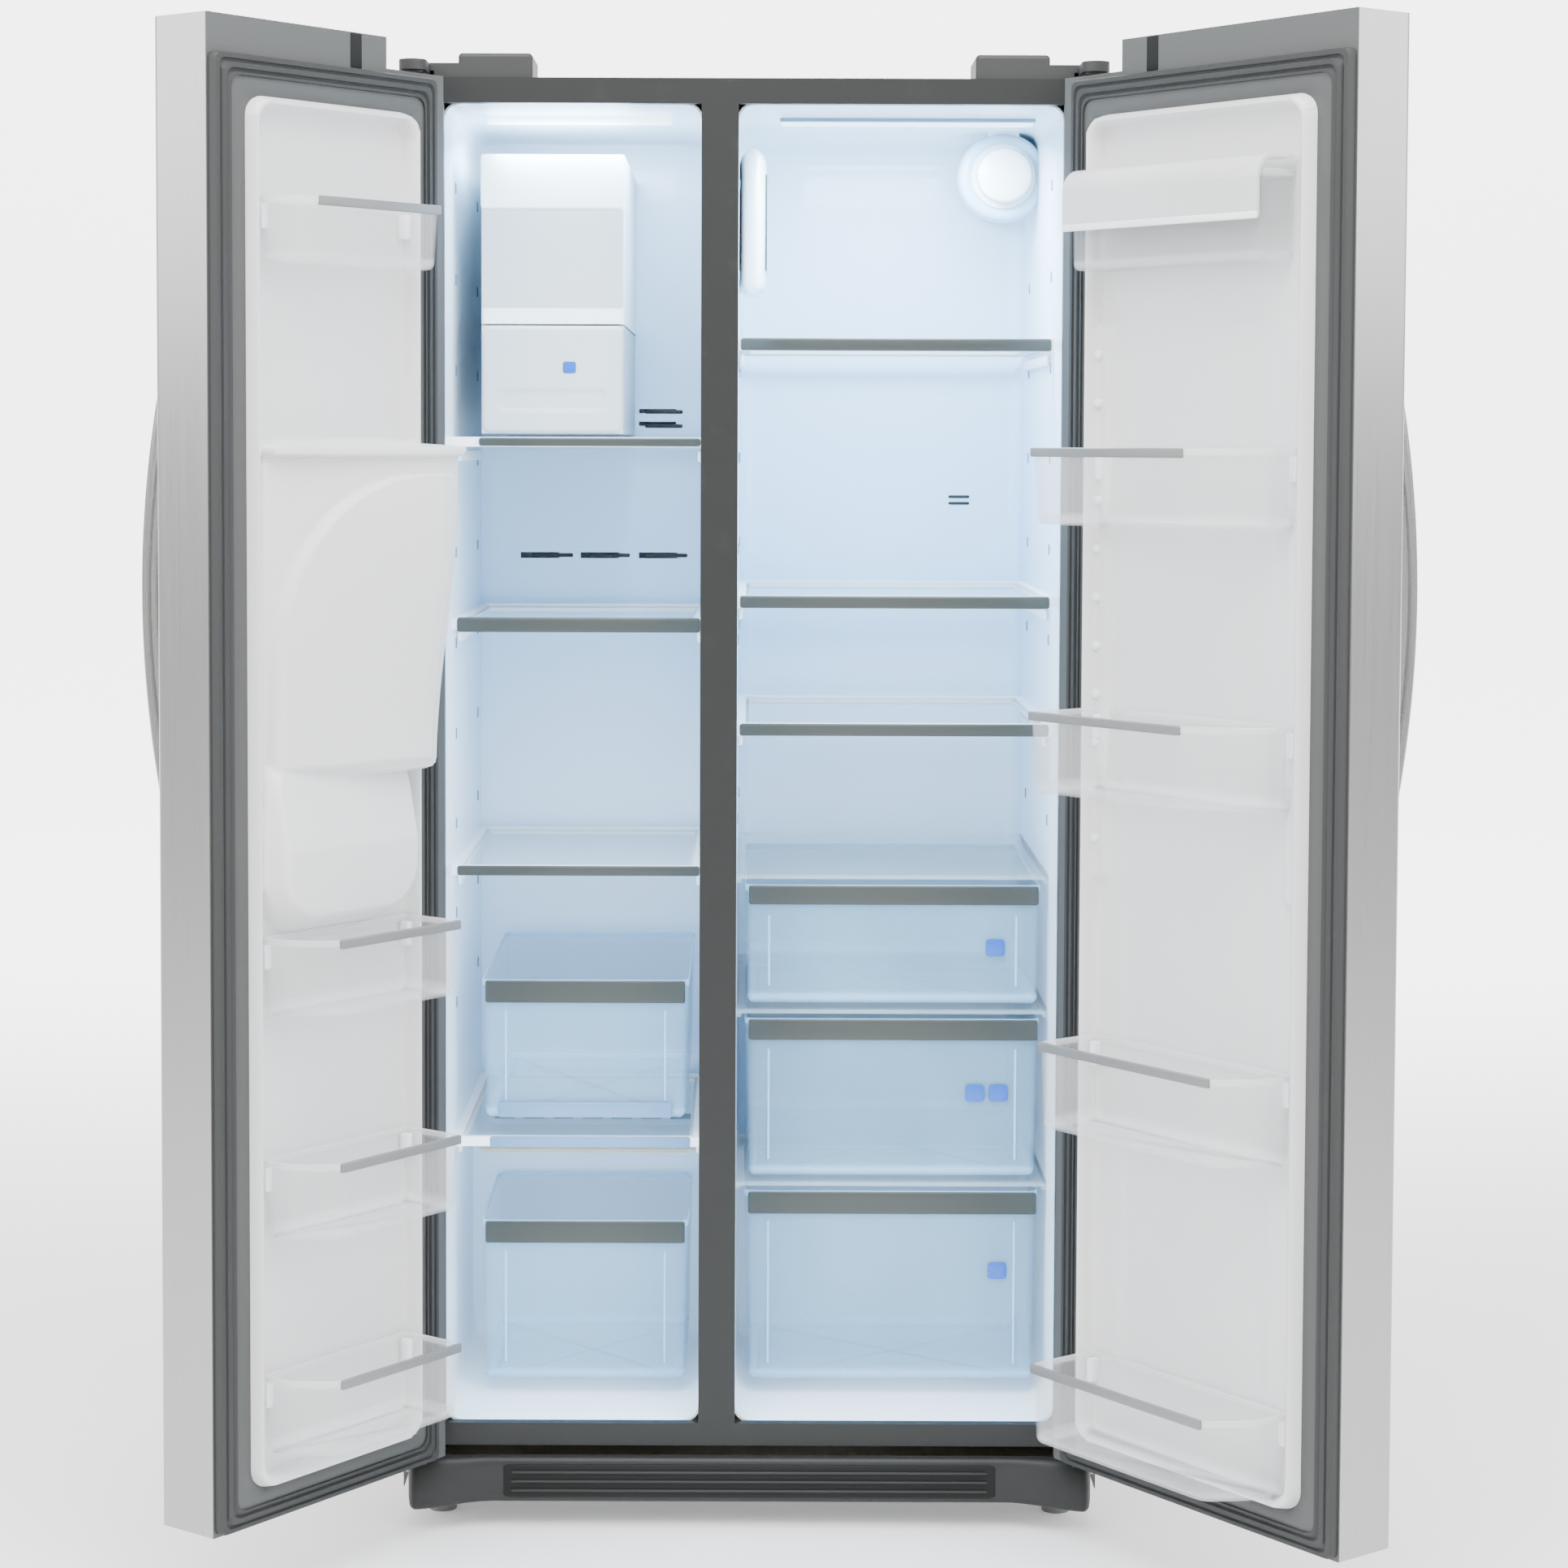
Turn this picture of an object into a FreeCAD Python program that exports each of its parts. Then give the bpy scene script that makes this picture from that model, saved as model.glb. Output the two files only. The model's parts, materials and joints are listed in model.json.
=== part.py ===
import FreeCAD, Part
import math
import os
import Sketcher

# Side-by-side refrigerator: freezer on the left, fridge on the right, both doors
# standing open. Millimetres. X runs to the right, Y to the back, Z up.
# The origin is on the floor, below the middle of the cabinet's front face.

Vector = FreeCAD.Vector

SIZES = [
    # name, value
    ("cab_width", 838), ("cab_depth", 700), ("cab_top", 1734), ("frame_low", 95),
    ("frame_thick", 14), ("top_band", 30), ("low_band", 27), ("side_band", 52),
    ("mullion_x", -40), ("mullion_width", 44), ("shell_wall", 1.2), ("liner_wall", 2.5),
    ("liner_depth", 600), ("machine_front", 440), ("machine_top", 330), ("step_wall", 42),
    ("floor_pan", 62), ("pan_sheet", 2),
    # doors, hinges and the way they stand open
    ("door_open", 127), ("door_thick", 85), ("door_rise", 32), ("notch_drop", 4),
    ("door_gap", 3.5), ("gasket_gap", 0.3), ("gasket_space", 12), ("gasket_width", 22),
    ("pin_inset", 20), ("pin_back", 30), ("pin_radius", 6), ("pin_play", 0.5),
    ("notch_length", 96), ("hinge_plate", 3), ("hinge_cover", 29),
    ("liner_in_hinge", 57), ("liner_in_free", 55), ("liner_in_top", 86), ("liner_in_low", 42),
    ("rim_high", 22), ("rim_wide", 12),
    ("handle_length", 647), ("handle_rise", 56), ("handle_middle", 1133),
    ("handle_width", 24), ("handle_inset", 29), ("handle_thick", 14), ("handle_root", 62),
    # toe grille, feet and rollers
    ("grille_width", 822), ("grille_low", 26), ("grille_high", 86), ("grille_face", 22),
    ("foot_face", 45), ("foot_width", 100), ("roller_radius", 22), ("roller_width", 20),
    ("leg_radius", 5), ("leg_pad", 17),
    # shelves and drawers
    ("front_line", 118), ("shelf_back", 560), ("glass", 4), ("side_play", 10),
    ("shelf_one", 1424), ("shelf_two", 1109), ("shelf_three", 952), ("shelf_band", 16),
    ("deli_top", 764), ("deli_low", 612), ("crisper_top", 603), ("crisper_low", 396),
    ("base_top", 391), ("base_low", 140), ("drawer_wall", 2.5),
    ("cold_shelf_one", 1304), ("cold_shelf_two", 1080), ("cold_shelf_three", 777),
    ("cold_shelf_four", 440), ("basket_top", 641), ("basket_low", 468),
    ("bottom_top", 341), ("bottom_low", 140),
    # ice
    ("ice_side", 34), ("ice_width", 175), ("ice_head", 50), ("ice_bin_height", 136),
    ("ice_foot", 8), ("auger_radius", 38),
    # dispenser
    ("disp_near", 85), ("disp_far", 285), ("disp_low", 940), ("disp_mid", 1245),
    ("disp_high", 1380), ("disp_deep", 68), ("bulge_low", 758), ("bulge_high", 1303),
    ("bulge_deep", 95),
    # door bins
    ("bin_wall", 2.5), ("bin_height", 87), ("bin_corner", 11),
    # fans, filter
    ("fan_radius", 50), ("fan_hub", 16), ("filter_radius", 32), ("filter_play", 1.5),
    ("filter_side_gap", 13), ("filter_top_gap", 24), ("filter_front", 330), ("cooler_cover", 545),
    ("valve_radius", 9), ("valve_side", 89), ("valve_height", 216),
]


class Size:
    """A length that knows its value and the expression that gives it in the document."""

    def __init__(self, value, text):
        self.value = value
        self.text = text

    def _mix(self, other, sign, back=False):
        if not isinstance(other, Size):
            other = Size(float(other), f"({float(other)!r})")
        first, second = (other, self) if back else (self, other)
        results = {
            "+": lambda a, b: a + b,
            "-": lambda a, b: a - b,
            "*": lambda a, b: a * b,
            "/": lambda a, b: a / b,
        }
        value = results[sign](first.value, second.value)
        return Size(value, f"({first.text} {sign} {second.text})")

    def __add__(self, other):
        return self._mix(other, "+")

    def __radd__(self, other):
        return self._mix(other, "+", True)

    def __sub__(self, other):
        return self._mix(other, "-")

    def __rsub__(self, other):
        return self._mix(other, "-", True)

    def __mul__(self, other):
        return self._mix(other, "*")

    def __rmul__(self, other):
        return self._mix(other, "*", True)

    def __truediv__(self, other):
        return self._mix(other, "/")

    def __neg__(self):
        return self * -1

    def __float__(self):
        return float(self.value)

    def cos(self):
        return Size(math.cos(math.radians(self.value)), f"cos({self.text})")

    def sin(self):
        return Size(math.sin(math.radians(self.value)), f"sin({self.text})")


def number(value):
    return value if isinstance(value, Size) else Size(float(value), f"({float(value)!r})")


doc = FreeCAD.newDocument("SideBySide")
sheet = doc.addObject("Spreadsheet::Sheet", "Sizes")
size = {}
for row, (alias, amount) in enumerate(SIZES, start=1):
    sheet.set(f"A{row}", str(amount))
    sheet.setAlias(f"A{row}", alias)
    size[alias] = Size(float(amount), f"Sizes.{alias}")
doc.recompute()


def bind(thing, prop, value):
    thing.setExpression(prop, number(value).text)


# ---------------------------------------------------------------- shape helpers

def box(name, xs, ys, zs):
    """A block between two places on each axis."""
    block = doc.addObject("Part::Box", name)
    for prop, (low, high) in zip(("Length", "Width", "Height"), (xs, ys, zs)):
        bind(block, prop, number(high) - low)
    for axis, (low, _) in zip("xyz", (xs, ys, zs)):
        bind(block, f".Placement.Base.{axis}", low)
    return block


TURNS = {
    "x": FreeCAD.Rotation(Vector(0, 1, 0), 90),
    "y": FreeCAD.Rotation(Vector(1, 0, 0), -90),
    "z": FreeCAD.Rotation(),
}


def rod(name, axis, start, radius, length):
    """A round bar that starts at a point and runs along +axis."""
    bar = doc.addObject("Part::Cylinder", name)
    bar.Placement = FreeCAD.Placement(Vector(), TURNS[axis])
    bind(bar, "Radius", radius)
    bind(bar, "Height", length)
    for letter, place in zip("xyz", start):
        bind(bar, f".Placement.Base.{letter}", place)
    return bar


def fuse(name, parts):
    joined = doc.addObject("Part::MultiFuse", name)
    joined.Shapes = list(parts)
    return joined


def group(name, parts):
    """Separate solids kept together as one sub-part."""
    several = doc.addObject("Part::Compound", name)
    several.Links = list(parts)
    return several


def cut(name, base, tools):
    tools = list(tools)
    tool = tools[0] if len(tools) == 1 else fuse(name + "_tools", tools)
    result = doc.addObject("Part::Cut", name)
    result.Base = base
    result.Tool = tool
    return result


def upright(edge):
    """True for a straight edge that runs along Z."""
    a, b = edge.Vertexes[0].Point, edge.Vertexes[-1].Point
    return abs(a.x - b.x) < 1e-6 and abs(a.y - b.y) < 1e-6 and abs(a.z - b.z) > 1e-3


def along(axis):
    """A test for straight edges that run along one axis."""
    def test(edge):
        ends = edge.Vertexes
        if len(ends) < 2 or edge.Curve.TypeId != "Part::GeomLine":
            return False
        gap = ends[-1].Point - ends[0].Point
        others = [abs(getattr(gap, a)) for a in "xyz" if a != axis]
        return max(others) < 1e-6 and abs(getattr(gap, axis)) > 1e-3
    return test


def rounded(name, base, radius, wanted):
    """A fillet on the edges of a Part object that a test picks."""
    doc.recompute()
    picked = [i for i, e in enumerate(base.Shape.Edges, start=1) if wanted(e)]
    soft = doc.addObject("Part::Fillet", name)
    soft.Base = base
    soft.Edges = [(i, float(radius), float(radius)) for i in picked]
    return soft


def new_body(name):
    return doc.addObject("PartDesign::Body", name)


def sketch(body, role, offset):
    """An empty sketch on one of a body's own planes, moved along the plane's normal."""
    plane = next(p for p in body.Origin.OriginFeatures if p.Role == role)
    drawing = body.newObject("Sketcher::SketchObject", body.Name + "_sketch")
    drawing.AttachmentSupport = [(plane, "")]
    drawing.MapMode = "FlatFace"
    bind(drawing, ".AttachmentOffset.Base.z", offset)
    return drawing


def polygon(drawing, points):
    """A closed outline whose corners are all held from the sketch's origin."""
    points = [(number(a), number(b)) for a, b in points]
    first = drawing.GeometryCount
    count = len(points)
    for i in range(count):
        a = points[i]
        b = points[(i + 1) % count]
        start = Vector(float(a[0]), float(a[1]), 0)
        end = Vector(float(b[0]), float(b[1]), 0)
        drawing.addGeometry(Part.LineSegment(start, end), False)
    for i in range(count):
        after = first + (i + 1) % count
        drawing.addConstraint(Sketcher.Constraint("Coincident", first + i, 2, after, 1))
    for i, corner in enumerate(points):
        for kind, place in zip(("DistanceX", "DistanceY"), corner):
            rule = Sketcher.Constraint(kind, -1, 1, first + i, 1, float(place))
            index = drawing.addConstraint(rule)
            drawing.setExpression(f"Constraints[{index}]", place.text)


def circle(drawing, centre, radius):
    x, y = number(centre[0]), number(centre[1])
    round_line = Part.Circle(Vector(float(x), float(y), 0), Vector(0, 0, 1), float(radius))
    index = drawing.addGeometry(round_line, False)
    rules = (
        (Sketcher.Constraint("Radius", index, float(radius)), number(radius)),
        (Sketcher.Constraint("DistanceX", -1, 1, index, 3, float(x)), x),
        (Sketcher.Constraint("DistanceY", -1, 1, index, 3, float(y)), y),
    )
    for rule, place in rules:
        held = drawing.addConstraint(rule)
        drawing.setExpression(f"Constraints[{held}]", place.text)


def corners(xs, ys):
    return [(xs[0], ys[0]), (xs[1], ys[0]), (xs[1], ys[1]), (xs[0], ys[1])]


def pad(body, drawing, length):
    thick = body.newObject("PartDesign::Pad", body.Name + "_pad")
    thick.Profile = drawing
    bind(thick, "Length", length)
    drawing.Visibility = False
    return thick


def pocket(body, drawing, depth):
    """A pocket that has to take material away."""
    doc.recompute()
    before = body.Shape.Volume
    hole = body.newObject("PartDesign::Pocket", body.Name + "_pocket")
    hole.Profile = drawing
    bind(hole, "Length", depth)
    doc.recompute()
    if body.Shape.Volume > before - 1e-3:
        raise RuntimeError(f"the pocket in {body.Name} removed nothing")
    return hole


def soften(body, radius, wanted):
    """A fillet at the end of a body's tree."""
    doc.recompute()
    base = body.Tip
    picked = [f"Edge{i}" for i, e in enumerate(base.Shape.Edges, start=1) if wanted(e)]
    soft = body.newObject("PartDesign::Fillet", body.Name + "_fillet")
    soft.Base = (base, picked)
    bind(soft, "Radius", radius)
    body.Tip = soft
    doc.recompute()
    return soft


def plate_xz(name, outlines, ys):
    """Outlines drawn on the front view and given a thickness between two depths."""
    body = new_body(name)
    drawing = sketch(body, "XZ_Plane", -number(ys[1]))
    for outline in outlines:
        polygon(drawing, outline)
    pad(body, drawing, number(ys[1]) - ys[0])
    return body


def plate_xy(name, outlines, zs):
    """Outlines drawn on the plan and given a height."""
    body = new_body(name)
    drawing = sketch(body, "XY_Plane", zs[0])
    for outline in outlines:
        polygon(drawing, outline)
    pad(body, drawing, number(zs[1]) - zs[0])
    return body


def plate_yz(name, outlines, xs):
    """Outlines drawn on the side view and given a width."""
    body = new_body(name)
    drawing = sketch(body, "YZ_Plane", xs[0])
    for outline in outlines:
        polygon(drawing, outline)
    pad(body, drawing, number(xs[1]) - xs[0])
    return body


def tray(name, outer, inner, zs, floor, corner, wall):
    """An open-topped box: a plan outline raised, then hollowed from above."""
    body = plate_xy(name, [outer], zs)
    drawing = sketch(body, "XY_Plane", zs[1])
    polygon(drawing, inner)
    pocket(body, drawing, number(zs[1]) - zs[0] - floor)
    soften(body, number(corner) - wall, near_corners(inner))
    soften(body, corner, near_corners(outer))
    return body


def near_corners(points):
    """A test for the upright edges that stand on the corners of an outline."""
    spots = [(float(number(a)), float(number(b))) for a, b in points]

    def test(edge):
        if not upright(edge):
            return False
        foot = edge.Vertexes[0].Point
        return any(math.hypot(foot.x - a, foot.y - b) < 0.05 for a, b in spots)

    return test


# ---------------------------------------------------------------- sub-part register

nodes = []


def node(label, thing, door=None):
    """Names a sub-part and, on a door, swings it open about that door's pin."""
    if door is not None:
        angle = door["turn"]
        px, py = door["pin_x"], door["pin_y"]
        move_x = px * (1 - angle.cos()) + py * angle.sin()
        move_y = py * (1 - angle.cos()) - px * angle.sin()
        thing.setExpression(
            "Placement",
            f"placement(vector({move_x.text}; {move_y.text}; 0);"
            f" rotation(vector(0; 0; 1); {angle.text}))",
        )
    thing.Label = label
    nodes.append(thing)
    return thing


# ---------------------------------------------------------------- main places

HALF = size["cab_width"] / 2
CAB_BACK = size["cab_depth"]
CAB_TOP = size["cab_top"]
FRAME_LOW = size["frame_low"]
FRAME_BACK = size["frame_thick"]
OPEN_LOW = FRAME_LOW + size["low_band"]
OPEN_TOP = CAB_TOP - size["top_band"]
COLD_LEFT = size["side_band"] - HALF
COLD_RIGHT = size["mullion_x"] - size["mullion_width"] / 2
COOL_LEFT = size["mullion_x"] + size["mullion_width"] / 2
COOL_RIGHT = HALF - size["side_band"]
WALL = size["liner_wall"]
LINER_BACK = size["liner_depth"]
STEP_FRONT = size["machine_front"] - size["step_wall"]
STEP_TOP = size["machine_top"] + size["step_wall"]
SHEET = size["shell_wall"]
FRONT = size["front_line"]

SLAB_BACK = -size["gasket_space"]
SLAB_FRONT = SLAB_BACK - size["door_thick"]
PIN_Y = SLAB_BACK - size["pin_back"]
DOOR_TOP = CAB_TOP + size["door_rise"]
NOTCH_FLOOR = CAB_TOP - size["notch_drop"]


def door_frame(hinge_edge, free_edge, way, turn):
    return {
        "edge": hinge_edge,
        "way": way,
        "width": (free_edge - hinge_edge) * way,
        "pin_x": hinge_edge + way * size["pin_inset"],
        "pin_y": PIN_Y,
        "turn": turn,
    }


FREEZER = door_frame(-HALF, size["mullion_x"] - size["door_gap"] / 2, 1, -size["door_open"])
FRIDGE = door_frame(HALF, size["mullion_x"] + size["door_gap"] / 2, -1, number(size["door_open"]))


def across(door, near, far):
    """The two X places, low first, of distances from a door's hinge edge."""
    a = door["edge"] + door["way"] * number(near)
    b = door["edge"] + door["way"] * number(far)
    return (a, b) if door["way"] > 0 else (b, a)


def at(door, distance):
    return door["edge"] + door["way"] * number(distance)


# ---------------------------------------------------------------- cabinet

def cabinet():
    shell_low = number(40)
    outer = corners((-HALF, HALF), (shell_low, CAB_TOP))
    inside = [(-HALF + SHEET, shell_low), (HALF - SHEET, shell_low),
              (HALF - SHEET, CAB_TOP - SHEET), (-HALF + SHEET, CAB_TOP - SHEET)]
    shell = new_body("cabinet_shell")
    drawing = sketch(shell, "XZ_Plane", -CAB_BACK)
    polygon(drawing, [outer[0], inside[0], inside[3], inside[2], inside[1],
                      outer[1], outer[2], outer[3]])
    pad(shell, drawing, CAB_BACK - FRAME_BACK)
    node("cabinet_shell", shell)

    back = plate_xz("back_panel", [corners((-HALF + SHEET, HALF - SHEET),
                                           (size["machine_top"], CAB_TOP - SHEET))],
                    (CAB_BACK - SHEET, CAB_BACK))
    node("back_panel", back)

    openings = [corners((COLD_LEFT, COLD_RIGHT), (OPEN_LOW, OPEN_TOP)),
                corners((COOL_LEFT, COOL_RIGHT), (OPEN_LOW, OPEN_TOP))]
    face = plate_xz("front_frame", [corners((-HALF, HALF), (FRAME_LOW, CAB_TOP))] + openings,
                    (0, FRAME_BACK))
    soften(face, number(2), lambda e: upright(e)
           and abs(abs(e.Vertexes[0].Point.x) - float(HALF)) < 0.01
           and abs(e.Vertexes[0].Point.y) < 0.01)
    node("front_frame", face)

    node("freezer_liner", liner("freezer_liner", COLD_LEFT, COLD_RIGHT))
    node("fridge_liner", liner("fridge_liner", COOL_LEFT, COOL_RIGHT))

    block = box("foam_block", (-HALF + SHEET, HALF - SHEET), (FRAME_BACK, CAB_BACK - SHEET),
                (FRAME_LOW, CAB_TOP - SHEET))
    hollows = [liner_block("foam_freezer", COLD_LEFT, COLD_RIGHT, WALL, FRAME_BACK),
               liner_block("foam_fridge", COOL_LEFT, COOL_RIGHT, WALL, FRAME_BACK),
               box("foam_machine", (-HALF, HALF), (size["machine_front"], CAB_BACK),
                   (FRAME_LOW - 1, size["machine_top"]))]
    node("foam_insulation", cut("foam_insulation", block, hollows))


def liner_block(name, left, right, grow, front):
    """The stepped space of one compartment, made larger all round by one wall."""
    profile = [(front, OPEN_LOW - grow), (STEP_FRONT + grow, OPEN_LOW - grow),
               (STEP_FRONT + grow, STEP_TOP - grow), (LINER_BACK + grow, STEP_TOP - grow),
               (LINER_BACK + grow, OPEN_TOP + grow), (front, OPEN_TOP + grow)]
    return plate_yz(name, [profile], (left - grow, right + grow))


def liner(name, left, right):
    """A thin moulded box, open at the front, with a step over the machine space."""
    outer = liner_block(name + "_outer", left, right, WALL, FRAME_BACK)
    inner = liner_block(name + "_inner", left, right, number(0), FRAME_BACK - 1)
    return cut(name, outer, [inner])


def base():
    pan_top = size["floor_pan"] + size["pan_sheet"]
    wide = (-HALF + SHEET, HALF - SHEET)
    pan = box("pan_plate", wide, (0, CAB_BACK - 20), (size["floor_pan"], pan_top))
    cheeks = []
    for side in (-1, 1):
        for depth in ROLLER_Y:
            for edge in (-1, 1):
                middle = side * ROLLER_X + edge * (size["roller_width"] / 2 + 3)
                cheek = box("roller_cheek", (middle - 1.25, middle + 1.25),
                            (depth - 16, depth + 16),
                            (size["roller_radius"] - 8, size["floor_pan"]))
                cheeks.append(cheek)
    lip = box("pan_lip", wide, (CAB_BACK - 22, CAB_BACK - 20), (size["floor_pan"] - 20, pan_top))
    axles = [rod("roller_axle", "x", (side * ROLLER_X - size["roller_width"] / 2 - 6, depth,
                                      size["roller_radius"]), 4, size["roller_width"] + 12)
             for side in (-1, 1) for depth in ROLLER_Y]
    holes = [rod("leg_hole", "z", (side * LEG_X, LEG_Y, size["floor_pan"] - 1),
                 size["leg_radius"] + 0.6, size["pan_sheet"] + 2) for side in (-1, 1)]
    node("base_pan", cut("base_pan", fuse("pan_parts", [pan, lip] + cheeks + axles), holes))

    for label, depth in zip(("front_rollers", "rear_rollers"), ROLLER_Y):
        wheels = []
        for side in (-1, 1):
            start = (side * ROLLER_X - size["roller_width"] / 2, depth, size["roller_radius"])
            wheel = rod(label + "_wheel", "x", start, size["roller_radius"], size["roller_width"])
            soft = rounded(label + "_soft", wheel, 2.5,
                           lambda e: e.Curve.TypeId == "Part::GeomCircle")
            bore = rod(label + "_bore", "x",
                       (start[0] - 1, depth, size["roller_radius"]), 4.4,
                       size["roller_width"] + 2)
            wheels.append(cut(label + "_turned", soft, [bore]))
        node(label, group(label, wheels))

    legs = []
    for side in (-1, 1):
        spot = (side * LEG_X, LEG_Y)
        foot = rod("leg_foot", "z", (*spot, 0), size["leg_pad"], 8)
        screw = rod("leg_screw", "z", (*spot, 0), size["leg_radius"], size["floor_pan"] + 14)
        nut = rod("leg_nut", "z", (*spot, 8), size["leg_radius"] + 4, 8)
        legs.append(fuse("leg", [foot, screw, nut]))
    node("levelling_legs", group("levelling_legs", legs))


ROLLER_X = HALF - 50
ROLLER_Y = (number(115), CAB_BACK - 75)
LEG_X = HALF - 44
LEG_Y = number(56)


def toe_grille():
    """The front kick plate: two bowed corner feet and a long louvred panel between."""
    half = size["grille_width"] / 2
    low, high = size["grille_low"], size["grille_high"]
    inner = half - size["foot_width"]
    face, foot = -size["grille_face"], -size["foot_face"]
    plan = [(-half, -3), (-half, foot + 8), (-half + 10, foot), (-inner - 24, foot),
            (-inner, face), (inner, face), (inner + 24, foot), (half - 10, foot),
            (half, foot + 8), (half, -3), (half - 4, -3), (half - 4, foot + 12),
            (inner + 26, foot + 4), (inner + 2, face + 4), (-inner - 2, face + 4),
            (-inner - 26, foot + 4), (-half + 4, foot + 12), (-half + 4, -3)]
    body = plate_xy("toe_grille_wall", [plan], (low, high))
    slots = []
    pitch = (high - low - 12) / 6
    for row in range(5):
        slot_low = low + 10 + pitch * row
        short = number(26 if row in (0, 4) else 12)
        slots.append(box("grille_slot", (-inner + short, inner - short),
                         (face - 5, face + 10), (slot_low, slot_low + pitch * 0.55)))
    brackets = [box("grille_tab", (side * (half - 60) - 10, side * (half - 60) + 10),
                    (foot + 2, -0.5), (high - 4, high)) for side in (-1, 1)]
    node("toe_grille", cut("toe_grille", fuse("toe_grille_solid", [body] + brackets), slots))


# ---------------------------------------------------------------- hinges

def hinges():
    uppers, lowers, covers = [], [], []
    for side, door in ((-1, FREEZER), (1, FRIDGE)):
        px = door["pin_x"]
        name = "left" if side < 0 else "right"
        low = CAB_TOP
        high = CAB_TOP + size["hinge_plate"]
        inward = -side
        plan = [(px - 12, PIN_Y - 10), (px + 12, PIN_Y - 10), (px + 14, 6),
                (px + 20, 20), (px + 20, 84), (px - 18, 84), (px - 18, 20), (px - 14, 6)]
        if side > 0:
            plan = [(px + (px - x), y) for x, y in plan]
        arm = plate_xy(f"top_hinge_{name}", [plan], (low, high))
        pin = rod(f"top_pin_{name}", "z", (px, PIN_Y, NOTCH_FLOOR - 22),
                  size["pin_radius"], high - NOTCH_FLOOR + 22)
        screws = [rod("hinge_screw", "z", (px, 34 + 28 * i, high), 5, 4) for i in range(2)]
        uppers.append(fuse(f"top_hinge_all_{name}", [arm, pin] + screws))

        low_face = FRAME_LOW - 8
        plate = box(f"low_plate_{name}", (px - 14, px + 14), (PIN_Y - 12, 30),
                    (low_face, low_face + size["hinge_plate"]))
        flange = box(f"low_flange_{name}", (px - 14, px + 14), (0, size["hinge_plate"]),
                     (size["floor_pan"] + size["pan_sheet"], low_face))
        stub = rod(f"low_pin_{name}", "z", (px, PIN_Y, low_face), size["pin_radius"],
                   FRAME_LOW + 18 - low_face)
        washer = rod(f"low_washer_{name}", "z", (px, PIN_Y, low_face + size["hinge_plate"]),
                     11, FRAME_LOW - 0.6 - low_face - size["hinge_plate"])
        lowers.append(fuse(f"low_hinge_{name}", [plate, flange, stub, washer]))

        near, far = 49, 137
        xs = (px + inward * near, px + inward * far)
        xs = xs if inward > 0 else (xs[1], xs[0])
        high_box = box(f"cover_block_{name}", xs, (4, 104),
                       (CAB_TOP, CAB_TOP + size["hinge_cover"]))
        high_soft = rounded(f"cover_soft_{name}", high_box, 5,
                            lambda e: upright(e) or e.Vertexes[0].Point.z > float(CAB_TOP) + 1
                            and e.Vertexes[-1].Point.z > float(CAB_TOP) + 1)
        low_xs = (px - inward * 18, px + inward * (near + 5))
        low_xs = low_xs if inward > 0 else (low_xs[1], low_xs[0])
        cap = box(f"cover_low_{name}", low_xs, (4, 98), (CAB_TOP, CAB_TOP + 17))
        nose = box(f"cover_nose_{name}", (px - 16, px + 16), (PIN_Y, 6), (high + 0.2, CAB_TOP + 15))
        knob = rod(f"cover_knob_{name}", "z", (px, PIN_Y, high + 0.2), 16, 12)
        solid = fuse(f"cover_solid_{name}", [high_soft, cap, nose, knob])
        room = box(f"cover_room_{name}", (px - 20.5, px + 20.5), (-1, 86),
                   (CAB_TOP - 1, high + 5))
        deep = (xs[0] + 4, xs[1] - 4)
        hollow = box(f"cover_hollow_{name}", deep, (8, 100),
                     (CAB_TOP - 1, CAB_TOP + size["hinge_cover"] - 3))
        covers.append(cut(f"hinge_cover_{name}", solid, [room, hollow]))
    node("top_hinges", group("top_hinges", uppers))
    node("bottom_hinges", group("bottom_hinges", lowers))
    node("hinge_covers", group("hinge_covers", covers))


# ---------------------------------------------------------------- doors

def door_outline(door, inset):
    """The front view of a door, stepped down over its top hinge."""
    near, far = at(door, inset), at(door, door["width"] - inset)
    step = at(door, size["notch_length"] + inset)
    low, high = FRAME_LOW + inset, DOOR_TOP - inset
    floor = NOTCH_FLOOR - inset
    return [(near, low), (far, low), (far, high), (step, high), (step, floor), (near, floor)]


def window(door):
    """Where the steel skin is open at the back and the inner liner shows."""
    half = size["gasket_width"] / 2
    return (size["pin_inset"] + 2 + half, door["width"] - 2 - half,
            OPEN_LOW - 2 - half, OPEN_TOP - 2 + half)


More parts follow.
